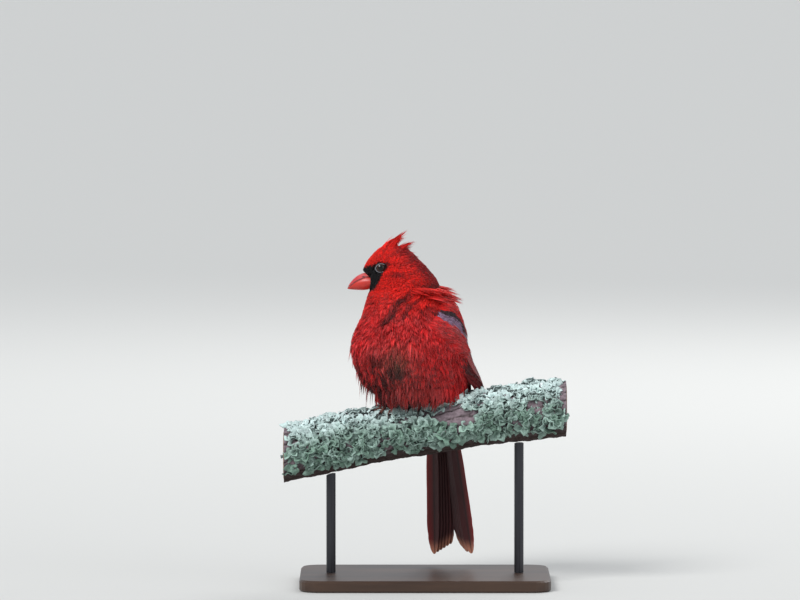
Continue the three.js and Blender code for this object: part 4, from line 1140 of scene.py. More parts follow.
def flight_colours(edge_share, ground):
    def colours(u, k):
        colour = ground * (0.72 + 0.4 * np.abs(u))[..., None]
        colour = blend_colour(colour, WING_EDGE, edge_share * rise(u, 0.55, 0.95))
        colour = blend_colour(colour, ground * 0.5, 0.6 * rise(k, 0.86, 1))
        return blend_colour(colour, SHAFT, shaft_at(u))

    return colours


print("a vane has", VANE_ROWS * VANE_COLUMNS * 2, "points")

# %% [markdown]
# The folded wing shows, from the tip up, the primaries stacked towards the tail, then the secondaries, then
# the greater coverts, laid here as vanes. The softer coverts above them are the locks that already lie on
# the same sheet. In the photograph only a strip shows at the bird's far edge, with a purple-grey band below
# a dark line. The rest follows the species.

# %% Wings
PRIMARIES = 8
SECONDARIES = 9
GREATER_COVERTS = 10


def make_wing(title, side):
    place = wing_place(side)
    parts = []
    random = np.random.default_rng(70 + side)
    flight = flight_colours(0.9, WING_DUSKY)
    inner = flight_colours(0.75, blend_colour(WING_DUSKY, WING_EDGE, np.array(0.25)))
    bluish = flight_colours(0.35, WING_PURPLE * 0.75)
    for i in range(PRIMARIES):
        k = i / (PRIMARIES - 1)
        end = (0.86 + 0.14 * math.sin(math.pi * (0.2 + 0.62 * k)), 0.07 + 0.45 * k)
        size = (5.0, -1.2 + 0.05 * i, 0.1 + 0.3 * i, side * 14, 0.55)
        parts.append(vane(place, (0.4, 0.14 + 0.3 * k), end, size, flight, 700 + i, side))
    for i in range(SECONDARIES):
        k = i / (SECONDARIES - 1)
        end = (0.82 - 0.2 * k + 0.015 * random.random(), 0.46 + 0.42 * k)
        size = (4.6, -1.8 + 0.05 * i, 1.2 + 0.14 * i, side * 12, 0.5)
        parts.append(vane(place, (0.3, 0.4 + 0.44 * k), end, size, inner, 720 + i, side))
    for i in range(GREATER_COVERTS):
        k = i / (GREATER_COVERTS - 1)
        end = (0.5 - 0.04 * k + 0.015 * random.random(), 0.04 + 0.86 * k)
        size = (3.2, -1.6, 0.9 + 0.05 * i, side * 9, 0.42)
        parts.append(vane(place, (0.18, 0.08 + 0.8 * k), end, size, bluish, 740 + i, side))
    return joined(title, parts, "Barbs")


wings = [make_wing("wing_left_feathers", 1), make_wing("wing_right_feathers", -1)]
tell(*wings)

# %% [markdown]
# The tail has twelve feathers in six pairs, the middle pair on top and the outer pairs stepping below it.
# They hang straight behind the branch, spread a little and are worn pale at the tips, with a notch between
# the lobes. Short coverts cover the roots above and below.

# %% Tail
TAIL = {
    "length": 104.0, "lean": 8.0, "rear": 36.5, "z": 119.0, "pairs": 6, "coverts": 9,
    "root": (2, 5), "tip": (4.4, 11.2), "vane_half": 5.9,
}
TAIL_RED = linear([98, 24, 24])
TAIL_DARK = linear([58, 20, 22])
TAIL_WORN = linear([182, 122, 98])
TAIL_STEP = 0.86


def tail_place(s, sideways, lift):
    """The tail's sheet: share of the length, millimetres to the bird's left, lift to the rear."""
    s, sideways, lift = np.broadcast_arrays(s, sideways, lift)
    lean = math.radians(TAIL["lean"])
    drop = TAIL["length"] * s
    rear = TAIL["rear"] + drop * math.sin(lean) + lift * math.cos(lean)
    z = TAIL["z"] - drop * math.cos(lean) + lift * math.sin(lean)
    return np.stack([*beside_axis(-rear, sideways), z], -1)


def tail_colours(side, worn):
    def colours(u, k):
        colour = blend_colour(np.broadcast_to(TAIL_DARK, u.shape + (3,)), TAIL_RED, rise(u * side, -0.2, 0.8))
        colour = blend_colour(colour, WING_EDGE, 0.5 * rise(u * side, 0.75, 0.95))
        colour = blend_colour(colour, TAIL_WORN, worn * rise(k, 0.9, 0.985))
        return blend_colour(colour, SHAFT, 0.8 * shaft_at(u))

    return colours


def make_tail():
    parts = []
    for i in range(TAIL["pairs"]):
        k = i / (TAIL["pairs"] - 1)
        for side in (1, -1):
            level = 4.4 - (0 if side > 0 else TAIL_STEP) * (i == 0) - TAIL_STEP * (i + (i > 0))
            tip = 0.935 + 0.065 * k - (0.02 if side > 0 and i > 3 else 0)
            size = (TAIL["vane_half"], level * 0.8, level, 0, 0.55)
            start = (-0.03, side * (TAIL["root"][0] + TAIL["root"][1] * k))
            end = (tip, side * (TAIL["tip"][0] + TAIL["tip"][1] * k))
            parts.append(vane(tail_place, start, end, size, tail_colours(side, 0.75), 800 + 2 * i + side))
    covert_colours = flight_colours(0.5, linear([128, 30, 30]))
    for i in range(TAIL["coverts"]):
        k = i / (TAIL["coverts"] - 1)
        reach = 0.27 - 0.1 * abs(2 * k - 1)
        start = (-0.09, -8 + 16 * k)
        across = -9.5 + 19 * k
        upper = (3.0, 2.6, 5.6 - 0.4 * (i % 2), 0, 0.4)
        under = (3.0, -2.6, -3.6 + 0.5 * (i % 2), 0, 0.4)
        parts.append(vane(tail_place, start, (reach, across), upper, covert_colours, 830 + i))
        parts.append(vane(tail_place, start, (reach * 0.85, across), under, covert_colours, 850 + i))
    return joined("tail_feathers", parts, "Barbs")


def make_rump():
    """The flesh that carries the roots of the tail."""
    rows, columns = 9, 24
    k = np.linspace(0, 1, rows)[:, None]
    turn = np.linspace(0, 2 * np.pi, columns, endpoint=False)[None, :]
    swell = 1 - 0.5 * k
    core = tail_place(-0.16 + 0.3 * k, 11.5 * swell * np.cos(turn), 5.6 * swell * np.sin(turn))
    points = np.concatenate([core.reshape(-1, 3), np.stack([core[0].mean(0), core[-1].mean(0)])])
    faces = [grid_faces(rows, columns, True), end_faces(rows, columns)]
    return outwards(mesh_piece("rump", points, faces, np.tile(linear([110, 20, 20]), (len(points), 1))))


tail = make_tail()
rump = make_rump()
tell(tail, rump)

# %% [markdown]
# The eye is a wet dark ball that the lids almost hide. The ball is a fine sphere with a brown iris and a
# black pupil. Its lids are one thin ring round an almond opening, tilted up to the back, that lies close on
# the ball. Their rim is pale: the lid's edge, with a painted reflection round the wet eye. The ball's own
# surface is smooth and glossy, so the studio's lights give it its highlight.

# %% Eyes
CORNEA = 0.12
IRIS = linear([52, 26, 16])
PUPIL = linear([8, 6, 6])
OUTER_IRIS = linear([20, 12, 10])


def eye_middle(side):
    skin_point = body_point(EYE["z"], 62.0 * side)
    return np.array([EYE["x"], skin_point[1] + side * EYE["depth"], EYE["z"]])


def make_eye(title, side):
    rows, columns = 40, 64
    polar = np.linspace(0.0, np.pi, rows)[:, None]
    turn = np.linspace(0, 2 * np.pi, columns, endpoint=False)[None, :]
    radius = EYE["radius"] + CORNEA * np.exp(-((polar / 0.5) ** 2))
    x = radius * np.sin(polar) * np.cos(turn)
    z = radius * np.sin(polar) * np.sin(turn)
    y = -side * radius * np.cos(polar) * np.ones_like(turn)
    points = (np.stack([x, y, z], -1) + eye_middle(side)).reshape(-1, 3)
    ring = np.repeat(np.degrees(polar)[:, 0], columns)
    tint = blend_colour(np.tile(IRIS, (len(points), 1)), PUPIL, rise(ring, 27, 24))
    tint = blend_colour(tint, OUTER_IRIS, rise(ring, 36, 44))
    return outwards(mesh_piece(title, points, [grid_faces(rows, columns, True)], tint))


print("eye middles", [np.round(eye_middle(s), 1).tolist() for s in (1, -1)])

# %% Lids
LID_RIM_AND_PAINTED_REFLECTION = linear([132, 130, 136])
LID_SKIN = linear([24, 21, 22])
LID_FROM = 0.97
LID_WIDTH = 0.36


def lid_section(steps):
    """The lid from its inner edge out and back: how far out, and how far it lifts off the ball."""
    section = []
    for k in np.linspace(0, 1, steps):
        lift = 0.42 * math.sin(math.pi * min(k * 1.35 + 0.1, 1)) + 0.2 - 0.25 * k
        section.append((LID_FROM + LID_WIDTH * k, lift))
    for k in np.linspace(1, 0, steps):
        section.append((LID_FROM + LID_WIDTH * k, 0.12 - 0.3 * k))
    return section


def make_lids(title, side):
    around = 72
    section = lid_section(9)
    a = np.linspace(0, 2 * np.pi, around, endpoint=False)
    tilt = math.radians(EYE["tilt"])
    corner = 1 - 0.2 * np.abs(np.cos(a)) ** 6
    rings = []
    for grow, lift in section:
        u = EYE["half_length"] * grow * np.cos(a)
        v = EYE["half_height"] * grow * np.sin(a) * corner
        flat_x = u * math.cos(tilt) - v * math.sin(tilt)
        flat_z = u * math.sin(tilt) + v * math.cos(tilt)
        far = np.clip(EYE["radius"] ** 2 - flat_x**2 - flat_z**2, 0.35, None) ** 0.5 + lift
        rings.append(np.stack([flat_x, -side * far, flat_z], -1) + eye_middle(side))
    points = np.concatenate(rings)
    i = np.arange(len(section))[:, None]
    j = np.arange(around)[None, :]
    nxt_i, nxt_j = (i + 1) % len(section), (j + 1) % around
    faces = np.stack([i * around + j, i * around + nxt_j, nxt_i * around + nxt_j, nxt_i * around + j], -1)
    lid_row = np.repeat(np.arange(len(section)), around)
    # The rim rows are pale: the lid's own edge, with a painted reflection round the wet eye.
    rim = np.isin(lid_row, [0, 1, 2, len(section) - 1])
    tint = np.where(rim[:, None], LID_RIM_AND_PAINTED_REFLECTION, LID_SKIN)
    return outwards(mesh_piece(title, points, [faces.reshape(-1, 4)], tint))


eyes, lids = {}, {}
for title, side in (("left", 1), ("right", -1)):
    eyes[title] = make_eye("eyeball_" + title, side)
    lids[title] = make_lids("eyelids_" + title, side)
tell(*eyes.values(), *lids.values())

# %% [markdown]
# The bill is a deep seed-cracking cone. Upper and lower halves are lofted from the same rows, so that they
# meet along the line of the mouth, which rises from the tip, bends and then drops to the gape. A nostril lies
# high on each side of the base, half under the black feathers.

# %% Bill
# Rows of the bill: x, height of the top, height of the underside, half width.
BILL_ROWS = [
    [-52.6, 202.75, 202.25, 0.25],
    [-52.1, 204.1, 202.1, 1.1],
    [-51, 206, 201.9, 2],
    [-49, 208.5, 201.7, 3.2],
    [-46.5, 210.7, 201.5, 4.5],
    [-44, 212.2, 201.4, 5.5],
    [-41.5, 213.1, 201.4, 6.3],
    [-38.5, 213.2, 201.9, 6.9],
    [-35.4, 212.4, 203.4, 7.1],
]
MOUTH_LINE = [[-54, 202.3], [-51, 204.3], [-47.4, 207.1], [-42.5, 209.6], [-38.6, 210.7], [-33, 208.8]]
BILL_TIP = BILL_ROWS[0][0]
BILL_FLAT = 0.22
BILL_HOLLOW = 0.22
HALF_GAP = 0.12
CORAL = linear([192, 58, 62])
CORAL_LOW = linear([188, 46, 36])
CORAL_PALE = linear([226, 128, 122])
MOUTH_CREASE_SHADE = linear([96, 12, 20])
NOSTRIL_PIT_SHADE = linear([40, 10, 12])
NOSTRIL = {"x": -41.9, "aside": 4.9, "z": 210.9, "size": [1.1, 1.6, 0.62], "depth": 0.5}


def bill_section(x, upper, arc, chord):
    """Rings of y and z across one half of the bill: its outer arc, then its side along the mouth."""
    table = read_table(BILL_ROWS, x)
    mouth = read_table(MOUTH_LINE, x)[:, 1] + (HALF_GAP if upper else -HALF_GAP)
    middle, tall = (table[:, 1] + table[:, 2]) / 2, (table[:, 1] - table[:, 2]) / 2
    cut = np.arccos(np.clip((mouth - middle) / tall, -0.97, 0.97))
    k = np.linspace(-1, 1, arc)[None, :]
    turn = k * cut[:, None] if upper else np.pi + k * (np.pi - cut[:, None])
    up, around = np.cos(turn), np.sin(turn)
    y = HEAD_Y - table[:, 3:4] * around * (1 - BILL_FLAT * np.maximum(up, 0))
    z = middle[:, None] + tall[:, None] * up
    c = np.linspace(0, 1, chord + 2)[None, 1:-1]
    inner_y = y[:, -1:] + (y[:, :1] - y[:, -1:]) * c
    inner_z = z[:, -1:] + (z[:, :1] - z[:, -1:]) * c
    hollow = np.sin(np.pi * c) * table[:, 3:4] * BILL_HOLLOW
    inner_z = inner_z + (hollow if upper else -hollow)
    return np.concatenate([y, inner_y], 1), np.concatenate([z, inner_z], 1)


def with_nostrils(points, tint):
    for side in (1, -1):
        pit = np.array([NOSTRIL["x"], HEAD_Y - side * NOSTRIL["aside"], NOSTRIL["z"]])
        near = np.linalg.norm((points - pit) / NOSTRIL["size"], axis=1)
        points[:, 1] += side * NOSTRIL["depth"] * np.exp(-(near**2))
        # Painted shade in the pit of the nostril.
        tint = blend_colour(tint, NOSTRIL_PIT_SHADE, np.exp(-(near**4)))
    return points, tint


def half_bill(title, upper):
    rows, arc, chord = 44, 30, 8
    wide = arc + chord
    x = BILL_TIP + (BILL_ROWS[-1][0] - BILL_TIP) * np.linspace(0, 1, rows) ** 1.35
    y, z = bill_section(x, upper, arc, chord)
    points = np.stack([np.repeat(x[:, None], wide, 1), y, z], -1).reshape(-1, 3)
    ends = np.stack([points[:wide].mean(0) - [0.1, 0, 0], points[-wide:].mean(0)])
    points = np.concatenate([points, ends])
    near_mouth = np.abs(points[:, 2] - read_table(MOUTH_LINE, points[:, 0])[:, 1])
    tint = np.tile(CORAL if upper else CORAL_LOW, (len(points), 1))
    # Painted shade in the crease where the two halves of the bill meet.
    tint = blend_colour(tint, MOUTH_CREASE_SHADE, 0.85 * rise(-near_mouth, -0.75, -0.15))
    tint = blend_colour(tint, CORAL_PALE, 0.3 * rise(points[:, 2], 209.5, 212.5))
    if upper:
        points, tint = with_nostrils(points, tint)
    faces = [grid_faces(rows, wide, True), end_faces(rows, wide)]
    return outwards(mesh_piece(title, points, faces, tint))


def bill_base_paths(seed):
    """Short feathers that lie forward over the base of the bill, longest below it."""
    random = np.random.default_rng(seed)
    n = 130
    turn = np.linspace(0, 2 * np.pi, n, endpoint=False) + random.uniform(-0.02, 0.02, n)
    reach = 0.6 + 1.3 * rise(-np.cos(turn), -0.3, 0.9) + random.uniform(-0.2, 0.6, n)
    k = np.linspace(0, 1, 6)
    x = -35.9 - reach[:, None] * k
    table = read_table(BILL_ROWS, x)
    up, around = np.cos(turn)[:, None], np.sin(turn)[:, None]
    level = -0.5 + 1.0 * rise(k, 0, 0.5) + 0.2 * k
    y = HEAD_Y - (table[..., 3] + level) * around * (1 - BILL_FLAT * np.maximum(up, 0))
    z = (table[..., 1] + table[..., 2]) / 2 + ((table[..., 1] - table[..., 2]) / 2 + level) * up
    centres = np.stack([x, y, z], -1)
    outward = unit((centres - np.array([0, HEAD_Y, 207.6])) * [0, 1, 1])
    across, out = frames_of(centres, outward)
    return centres, across, out, 0.75 * random.uniform(0.8, 1.2, n)


bristles = lock_mesh("feathers_bill_base", bill_base_paths(66), 4, 0.35, 67, mix=0.1)
coat.append(bristles)
bill_upper = half_bill("bill_upper_half", True)
bill_lower = half_bill("bill_lower_half", False)
tell(bristles, bill_upper, bill_lower)

# %% [markdown]
# Legs and feet are hidden in the photograph, so they follow the species: slender shanks with overlapping
# scutes, three toes ahead and one behind that grip the bark, and curved dark claws. Each is a tube along
# a path whose radius steps up and down for the scutes. The claws are pieces of their own.

# %% The branch's surface, which the feet need
PERCH = {"half": 96.0, "radius": 17.5, "z": 106.4, "rise": 0.165, "sag": 0.00036, "crust": 3.4}


def branch_middle(x):
    return PERCH["z"] + PERCH["rise"] * x - PERCH["sag"] * x * x


def crust_at(x, angle):
    """The crust's share: most at the top of the front, little below, none under the bird or in a window."""
    lobes = np.sin(x * 0.47 + 2.1 * np.sin(angle * 2)) * np.sin(angle * 4 + x * 0.21)
    bare = np.exp(-(((x - 4) / 15) ** 2) - ((angle - 1.25) / 0.6) ** 2)
    worn = np.exp(-(((x + 8) / 22) ** 2) - ((angle + 0.1) / 0.55) ** 2)
    front = 0.5 + 0.5 * np.cos(angle - 0.5)
    return PERCH["crust"] * (0.35 + 0.65 * front) * (0.8 + 0.3 * lobes) * (1 - bare) * (1 - 0.92 * worn)


def branch_point(x, angle, grow):
    """Points round the branch: the angle runs from the top towards the camera."""
    r = PERCH["radius"] * (1 + 0.02 * np.sin(x * 0.09 + 1)) + crust_at(x, angle) + grow
    return np.stack([x + 0 * r, -r * np.sin(angle), branch_middle(x) + r * np.cos(angle)], -1)


print("branch top over the middle:", np.round(branch_point(0.0, 0.0, 0.0), 1).tolist())


# %% Legs, toes and claws
LEG = {"side": 12.5, "forward": 4.0, "radius": 1.25, "length": 17.0, "scutes": 14}
TOE = {"radius": 1.15, "angles": (-24, 0, 24), "reach": 15.5, "hind": 12.0, "claw": 5.4, "scutes": 16}
SCUTE_LIGHT = linear([112, 72, 62])
SCUTE_DARK = linear([60, 36, 32])
CLAW_DARK = linear([34, 24, 22])


def tube(path, radii, tints, sides=14):
    """A closed tube along a path, as one of the parts that joined() takes."""
    along = unit(np.gradient(path, axis=0))
    helper = np.where(np.abs(along[:, :1]) < 0.8, [[1.0, 0, 0]], [[0, 1.0, 0]])
    u = unit(np.cross(helper, along))
    v = np.cross(along, u)
    turn = np.linspace(0, 2 * np.pi, sides, endpoint=False)
    ring = u[:, None] * np.cos(turn)[None, :, None] + v[:, None] * np.sin(turn)[None, :, None]
    points = (path[:, None] + ring * radii[:, None, None]).reshape(-1, 3)
    points = np.concatenate([points, path[:1], path[-1:]])
    tint = np.concatenate([np.repeat(tints, sides, 0), tints[:1], tints[-1:]])
    return points, [grid_faces(len(path), sides, True), end_faces(len(path), sides)], tint, None


def foot_middle(side):
    x, _ = beside_axis(LEG["forward"], side * LEG["side"])
    return np.array([x, 0.0, branch_middle(x) + PERCH["radius"]])


def over_branch(middle, direction, reach, height):
    x = middle[0] + np.cos(direction) * reach
    angle = (-np.sin(direction) * reach) / (PERCH["radius"] + 1.5)
    return branch_point(x, angle, height)


def scuted(k, radius, count):
    """Radii of a tube that steps up and down, a step a scute."""
    step = (k * count) % 1
    return radius * (1 + 0.1 * np.abs(np.sin(np.pi * k * count * 0.5)) - 0.05 * (step > 0.85))


def scute_tints(k, count):
    return SCUTE_DARK + (SCUTE_LIGHT - SCUTE_DARK) * (0.35 + 0.65 * ((k * count) % 1))[:, None]


def make_toe(middle, direction, length):
    k = np.linspace(0, 1, 40)
    pads = 0.12 * np.cos(k * 6 * np.pi)
    path = over_branch(middle, direction, length * k, TOE["radius"] + 0.35 + 0.45 * np.sin(k * np.pi))
    radii = scuted(k, TOE["radius"] * (1.12 - 0.32 * k), TOE["scutes"]) + pads
    return tube(path, radii, scute_tints(k, TOE["scutes"]))


def make_claw(middle, direction, length):
    c = np.linspace(0, 1, 14)
    height = 1.55 + 1.5 * np.sin(math.pi * c) - 1.25 * c
    path = over_branch(middle, direction, length - 0.6 + TOE["claw"] * c, height)
    return tube(path, 0.82 * (1 - c) ** 0.7 + 0.06, np.tile(CLAW_DARK, (len(c), 1)), 10)


def make_shank(middle):
    k = np.linspace(0, 1, 46)
    low = middle + [0, 0, 2.2]
    top = low + np.array([-2 * math.cos(HEADING), 2.0 - 2 * math.sin(HEADING), LEG["length"]])
    path = low + (top - low) * k[:, None]
    radii = scuted(k, LEG["radius"] * (1.0 + 0.18 * k), LEG["scutes"]) + 0.75 * np.exp(-((k / 0.09) ** 2))
    return tube(path, radii, scute_tints(k, LEG["scutes"]), 18)


legs = {}
for title, side in (("left", 1), ("right", -1)):
    middle = foot_middle(side)
    toes = [(HEADING + math.radians(a), TOE["reach"]) for a in TOE["angles"]]
    toes.append((HEADING + math.pi - math.radians(side * 8), TOE["hind"]))
    legs[title] = [
        outwards(joined("shank_" + title, [make_shank(middle)])),
        outwards(joined("toes_" + title, [make_toe(middle, *toe) for toe in toes])),
        outwards(joined("claws_" + title, [make_claw(middle, *toe) for toe in toes])),
    ]
    tell(*legs[title])

# %% [markdown]
# The perch is a cut length of old branch. Its bark is grey and split into long ridges, and its ends show the
# cut wood. The surface is one closed grid, pushed in and out by layered waves: long furrows along the branch,
# cracks across them, a fine grain and one knot. Each end is closed by rings that shrink to its middle.

# %% Bark
BARK_ROWS = 240
BARK_COLUMNS = 132
END_RINGS = 12
BARK_GREY = linear([128, 114, 120])
FURROW_DARK = linear([52, 44, 42])
# Painted shade of the branch's underside.
UNDERSIDE_SHADE = linear([50, 38, 30])
CUT_WOOD = linear([150, 120, 84])


def furrows(x, angle):
    bend = angle + 0.16 * np.sin(x * 0.06) + 0.05 * np.sin(x * 0.19 + angle * 3)
    ridges = 1 - np.abs(np.sin(bend * 9 + 0.5 * np.sin(x * 0.11 + angle * 2)))
    fine = 1 - np.abs(np.sin(bend * 23 + 1.1 * np.sin(x * 0.23 + angle * 5)))
    across = 1 - np.abs(np.sin(x * 0.31 + 1.7 * np.sin(angle * 4) + 2 * np.sin(x * 0.07)))
    grain = np.sin(x * 1.9 + angle * 31) * np.sin(x * 0.8 - angle * 17)
    return -1.05 * ridges**3 - 0.45 * fine**3 - 0.4 * across**8 + 0.12 * grain


def cut_end(rim, start, base, out):
    """Rings and faces that close one end of the branch, from the rim whose first point is start."""
    rings, quads = [], []
    middle = rim.mean(0)
    j = np.arange(BARK_COLUMNS)
    nxt = (j + 1) % BARK_COLUMNS
    before = start
    for ring in range(1, END_RINGS):
        wood = middle + (rim - middle) * (1 - ring / END_RINGS)
        wood[:, 0] += 0.35 * math.sin(ring * 2.3) * out
        rings.append(wood)
        now = base + (ring - 1) * BARK_COLUMNS
        quads.append(np.stack([before + j, before + nxt, now + nxt, now + j], -1))
        before = now
    rings.append(middle[None])
    centre = np.full(BARK_COLUMNS, base + (END_RINGS - 1) * BARK_COLUMNS)
    fan = np.stack([before + j, before + nxt, centre], -1)
    turned = slice(None, None, -out)
    return np.concatenate(rings), [quad[:, turned] for quad in quads], fan[:, turned]


def bark_tints(x, angle):
    depth = furrows(x, angle)
    tint = blend_colour(np.tile(BARK_GREY, (len(x), 1)), FURROW_DARK, rise(-depth, 0.15, 1.1))
    # Painted shade: the bark turns dark brown round the underside of the branch.
    return blend_colour(tint, UNDERSIDE_SHADE, 0.85 * rise(np.abs(angle - 0.3), 1.3, 2.2))


def make_bark():
    x = np.linspace(-PERCH["half"], PERCH["half"], BARK_ROWS)[:, None]
    angle = np.linspace(0, -2 * np.pi, BARK_COLUMNS, endpoint=False)[None, :]
    signed = (angle + np.pi) % (2 * np.pi) - np.pi
    knot = 1.6 * np.exp(-(((x + 52) / 7) ** 2) - ((signed - 1.1) / 0.4) ** 2)
    side = branch_point(x + 0 * angle, signed + 0 * x, furrows(x, signed) - 0.9 + knot).reshape(-1, 3)
    count = len(side)
    left, left_quads, left_fan = cut_end(side[:BARK_COLUMNS], 0, count, 1)
    last = count - BARK_COLUMNS
    right, right_quads, right_fan = cut_end(side[-BARK_COLUMNS:], last, count + len(left), -1)
    points = np.concatenate([side, left, right])
    faces = [grid_faces(BARK_ROWS, BARK_COLUMNS, True), *left_quads, *right_quads, left_fan, right_fan]
    tint = np.tile(CUT_WOOD, (len(points), 1))
    tint[:count] = bark_tints(np.repeat(x[:, 0], BARK_COLUMNS), np.tile(signed[0], BARK_ROWS))
    return outwards(mesh_piece("bark", points, faces, tint))


bark = make_bark()
tell(bark)

# %% [markdown]
# Leafy lichen covers the top and front of the branch: small ruffled lobes, pale blue-green above, darker and
# larger where they hang down the front. Lobes repeat by the hundred over a surface, so Geometry Nodes scatter
# them: points on the bark by a density attribute, one of a few lobe shapes on each, turned by the surface and
# a seeded twist, then realized. The result is kept as a plain mesh.

# %% Lobe shapes
LOBE_ROWS = 3
LOBE_COLUMNS = 11
LOBE_POINTS = 2 * LOBE_ROWS * LOBE_COLUMNS
LOBE_SIZES = [(2.1, 0.25), (2.7, 0.4), (1.7, 0.1), (3.1, 0.3)]
LOBE_THICKNESS = 0.32
LOBE_ROOT = 0.15


def rim_of_grid(rows, columns):
    """The points round the edge of an open grid, in order."""
    edge = [i * columns for i in range(rows)]
    edge += [(rows - 1) * columns + j for j in range(1, columns)]
    edge += [i * columns + columns - 1 for i in range(rows - 2, -1, -1)]
    return np.array(edge + list(range(columns - 2, 0, -1)))


def lobe(name, seed, size, curl):
    """A thin ruffled lobe with a scalloped rim, growing from its origin along +Y, facing +Z."""
    random = np.random.default_rng(seed)
    a = np.radians(np.linspace(-78, 78, LOBE_COLUMNS))[None, :]
    k = np.linspace(0, 1, LOBE_ROWS)[:, None]
    phase = random.uniform(0, 6.28, 3)
    rim = size * (1 + 0.2 * np.sin(a * 4.5 + phase[0]) + 0.1 * np.sin(a * 9 + phase[1]))
    r = rim * k + LOBE_ROOT * size * (1 - k)
    x, y = r * np.sin(a), r * np.cos(a) - LOBE_ROOT * size
    z = size * (curl * k**2 + 0.16 * k * np.sin(a * 5 + phase[2]) + 0.05)
    top = np.stack([x, y, z], -1).reshape(-1, 3)
    count = len(top)
    upper = grid_faces(LOBE_ROWS, LOBE_COLUMNS, False)
    edge = rim_of_grid(LOBE_ROWS, LOBE_COLUMNS)
    nxt = np.roll(edge, -1)
    wall = np.stack([edge, nxt, nxt + count, edge + count], -1)
    faces = np.concatenate([upper, upper[:, ::-1] + count, wall])
    # Painted light and shade: lobes lighter towards the rim, darker at the root, and dark on the underside.
    shade = np.concatenate([0.75 + 0.5 * np.repeat(k[:, 0], LOBE_COLUMNS), np.full(count, 0.3)])
    points = np.concatenate([top, top - [0, 0, LOBE_THICKNESS]])
    return outwards(mesh_piece(name, points, [faces], np.repeat(shade[:, None], 3, 1)))


lobe_shapes = bpy.data.collections.new("lichen lobe shapes")
bpy.context.scene.collection.children.link(lobe_shapes)
for i, (size, curl) in enumerate(LOBE_SIZES):
    shape = lobe("lichen lobe shape %d" % (i + 1), 900 + i, size, curl)
    bpy.context.scene.collection.objects.unlink(shape)
    lobe_shapes.objects.link(shape)
tell(*lobe_shapes.objects)

# %% [markdown]
# Finishes come before the scatter, because the node tree sets one. Colours, the painted light and shade among
# them, sit in the Markings attribute, and each finish adds what the real surface has at a small scale: soft
# sheen on plumage, barbs on the vanes, a waxy bill, wet eyes, powdery lichen, furrowed bark. Patterns use
# Object coordinates or a piece's own UV.
# Every node below is made by one helper, which sets its properties and then gives its inputs values or links.

# %% Tools for node trees
def add_node(tree, kind, inputs=None, **properties):
    node = tree.nodes.new(kind)
    for key, value in properties.items():
        setattr(node, key, value)
    for key, value in (inputs or {}).items():
        if isinstance(value, bpy.types.NodeSocket):
            tree.links.new(value, node.inputs[key])
        else:
            node.inputs[key].default_value = value
    return node


def to_shader(tree, name, value):
    tree.links.new(value, tree.nodes["Principled BSDF"].inputs[name])


def finish(name, roughness, specular=0.5, sheen=0.0, coat=0.0, metallic=0.0, under=0.0):
    material = bpy.data.materials.new(name)
    material.use_nodes = True
    values = {
        "Roughness": roughness, "Specular IOR Level": specular, "Sheen Weight": sheen, "Sheen Roughness": 0.4,
        "Coat Weight": coat, "Coat Roughness": 0.05, "Metallic": metallic, "Subsurface Weight": under,
        "Subsurface Radius": (0.002, 0.0008, 0.0006),
    }
    shader = material.node_tree.nodes["Principled BSDF"]
    for key, value in values.items():
        shader.inputs[key].default_value = value
    return material


def noise(tree, scale, detail, stretch=(1, 1, 1)):
    """Noise on Object coordinates, stretched by a mapping."""
    place = add_node(tree, "ShaderNodeTexCoord").outputs["Object"]
    mapped = add_node(tree, "ShaderNodeMapping", {"Scale": stretch, "Vector": place}).outputs["Vector"]
    inputs = {"Scale": scale, "Detail": detail, "Vector": mapped}
    return add_node(tree, "ShaderNodeTexNoise", inputs).outputs["Fac"]


def ranged(tree, value, low, high):
    """The middle of a noise's values, spread from low to high."""
    inputs = {"Value": value, "From Min": 0.3, "From Max": 0.7, "To Min": low, "To Max": high}
    return add_node(tree, "ShaderNodeMapRange", inputs).outputs["Result"]


def markings_times(tree, value):
    """Base colour: the Markings attribute, made lighter and darker by a value."""
    markings = add_node(tree, "ShaderNodeVertexColor", layer_name="MarkingsAndPaintedLight").outputs["Color"]
    scaled = add_node(tree, "ShaderNodeVectorMath", {0: markings, "Scale": value}, operation="SCALE")
    to_shader(tree, "Base Color", scaled.outputs["Vector"])


def bump(tree, value, distance, strength):
    node = add_node(tree, "ShaderNodeBump", {"Distance": distance, "Strength": strength, "Height": value})
    to_shader(tree, "Normal", node.outputs["Normal"])


print("materials before the finishes:", len(bpy.data.materials))


# %% Finishes
def marked_finish(name, scale, detail, low, high, depth, **shader_values):
    """The markings under a fine noise that shades them from low to high and stands up by depth."""
    material = finish(name, **shader_values)
    tree = material.node_tree
    grain = noise(tree, scale, detail)
    markings_times(tree, ranged(tree, grain, low, high))
    bump(tree, grain, depth, 0.6)
    return material


BARB_TURNS = 620.0
BARB_SLANT = -0.12


def barbed_finish():
    """Barbs that slant away from the shaft, as a wave along the feather's own UV map."""
    material = finish("barbed vane", roughness=0.5, specular=0.35, sheen=0.15)
    tree = material.node_tree
    uv = add_node(tree, "ShaderNodeUVMap", uv_map="Barbs").outputs["UV"]
    place = add_node(tree, "ShaderNodeSeparateXYZ", {"Vector": uv}).outputs

    def maths(operation, *values):
        return add_node(tree, "ShaderNodeMath", dict(enumerate(values)), operation=operation).outputs["Value"]

    aside = maths("ABSOLUTE", maths("SUBTRACT", place["X"], 0.5))
    slant = maths("ADD", place["Y"], maths("MULTIPLY", aside, BARB_SLANT))
    wave = maths("SINE", maths("MULTIPLY", slant, BARB_TURNS))
    markings_times(tree, maths("ADD", maths("MULTIPLY", wave, 0.12), 1.0))
    bump(tree, wave, 0.0001, 0.5)
    return material


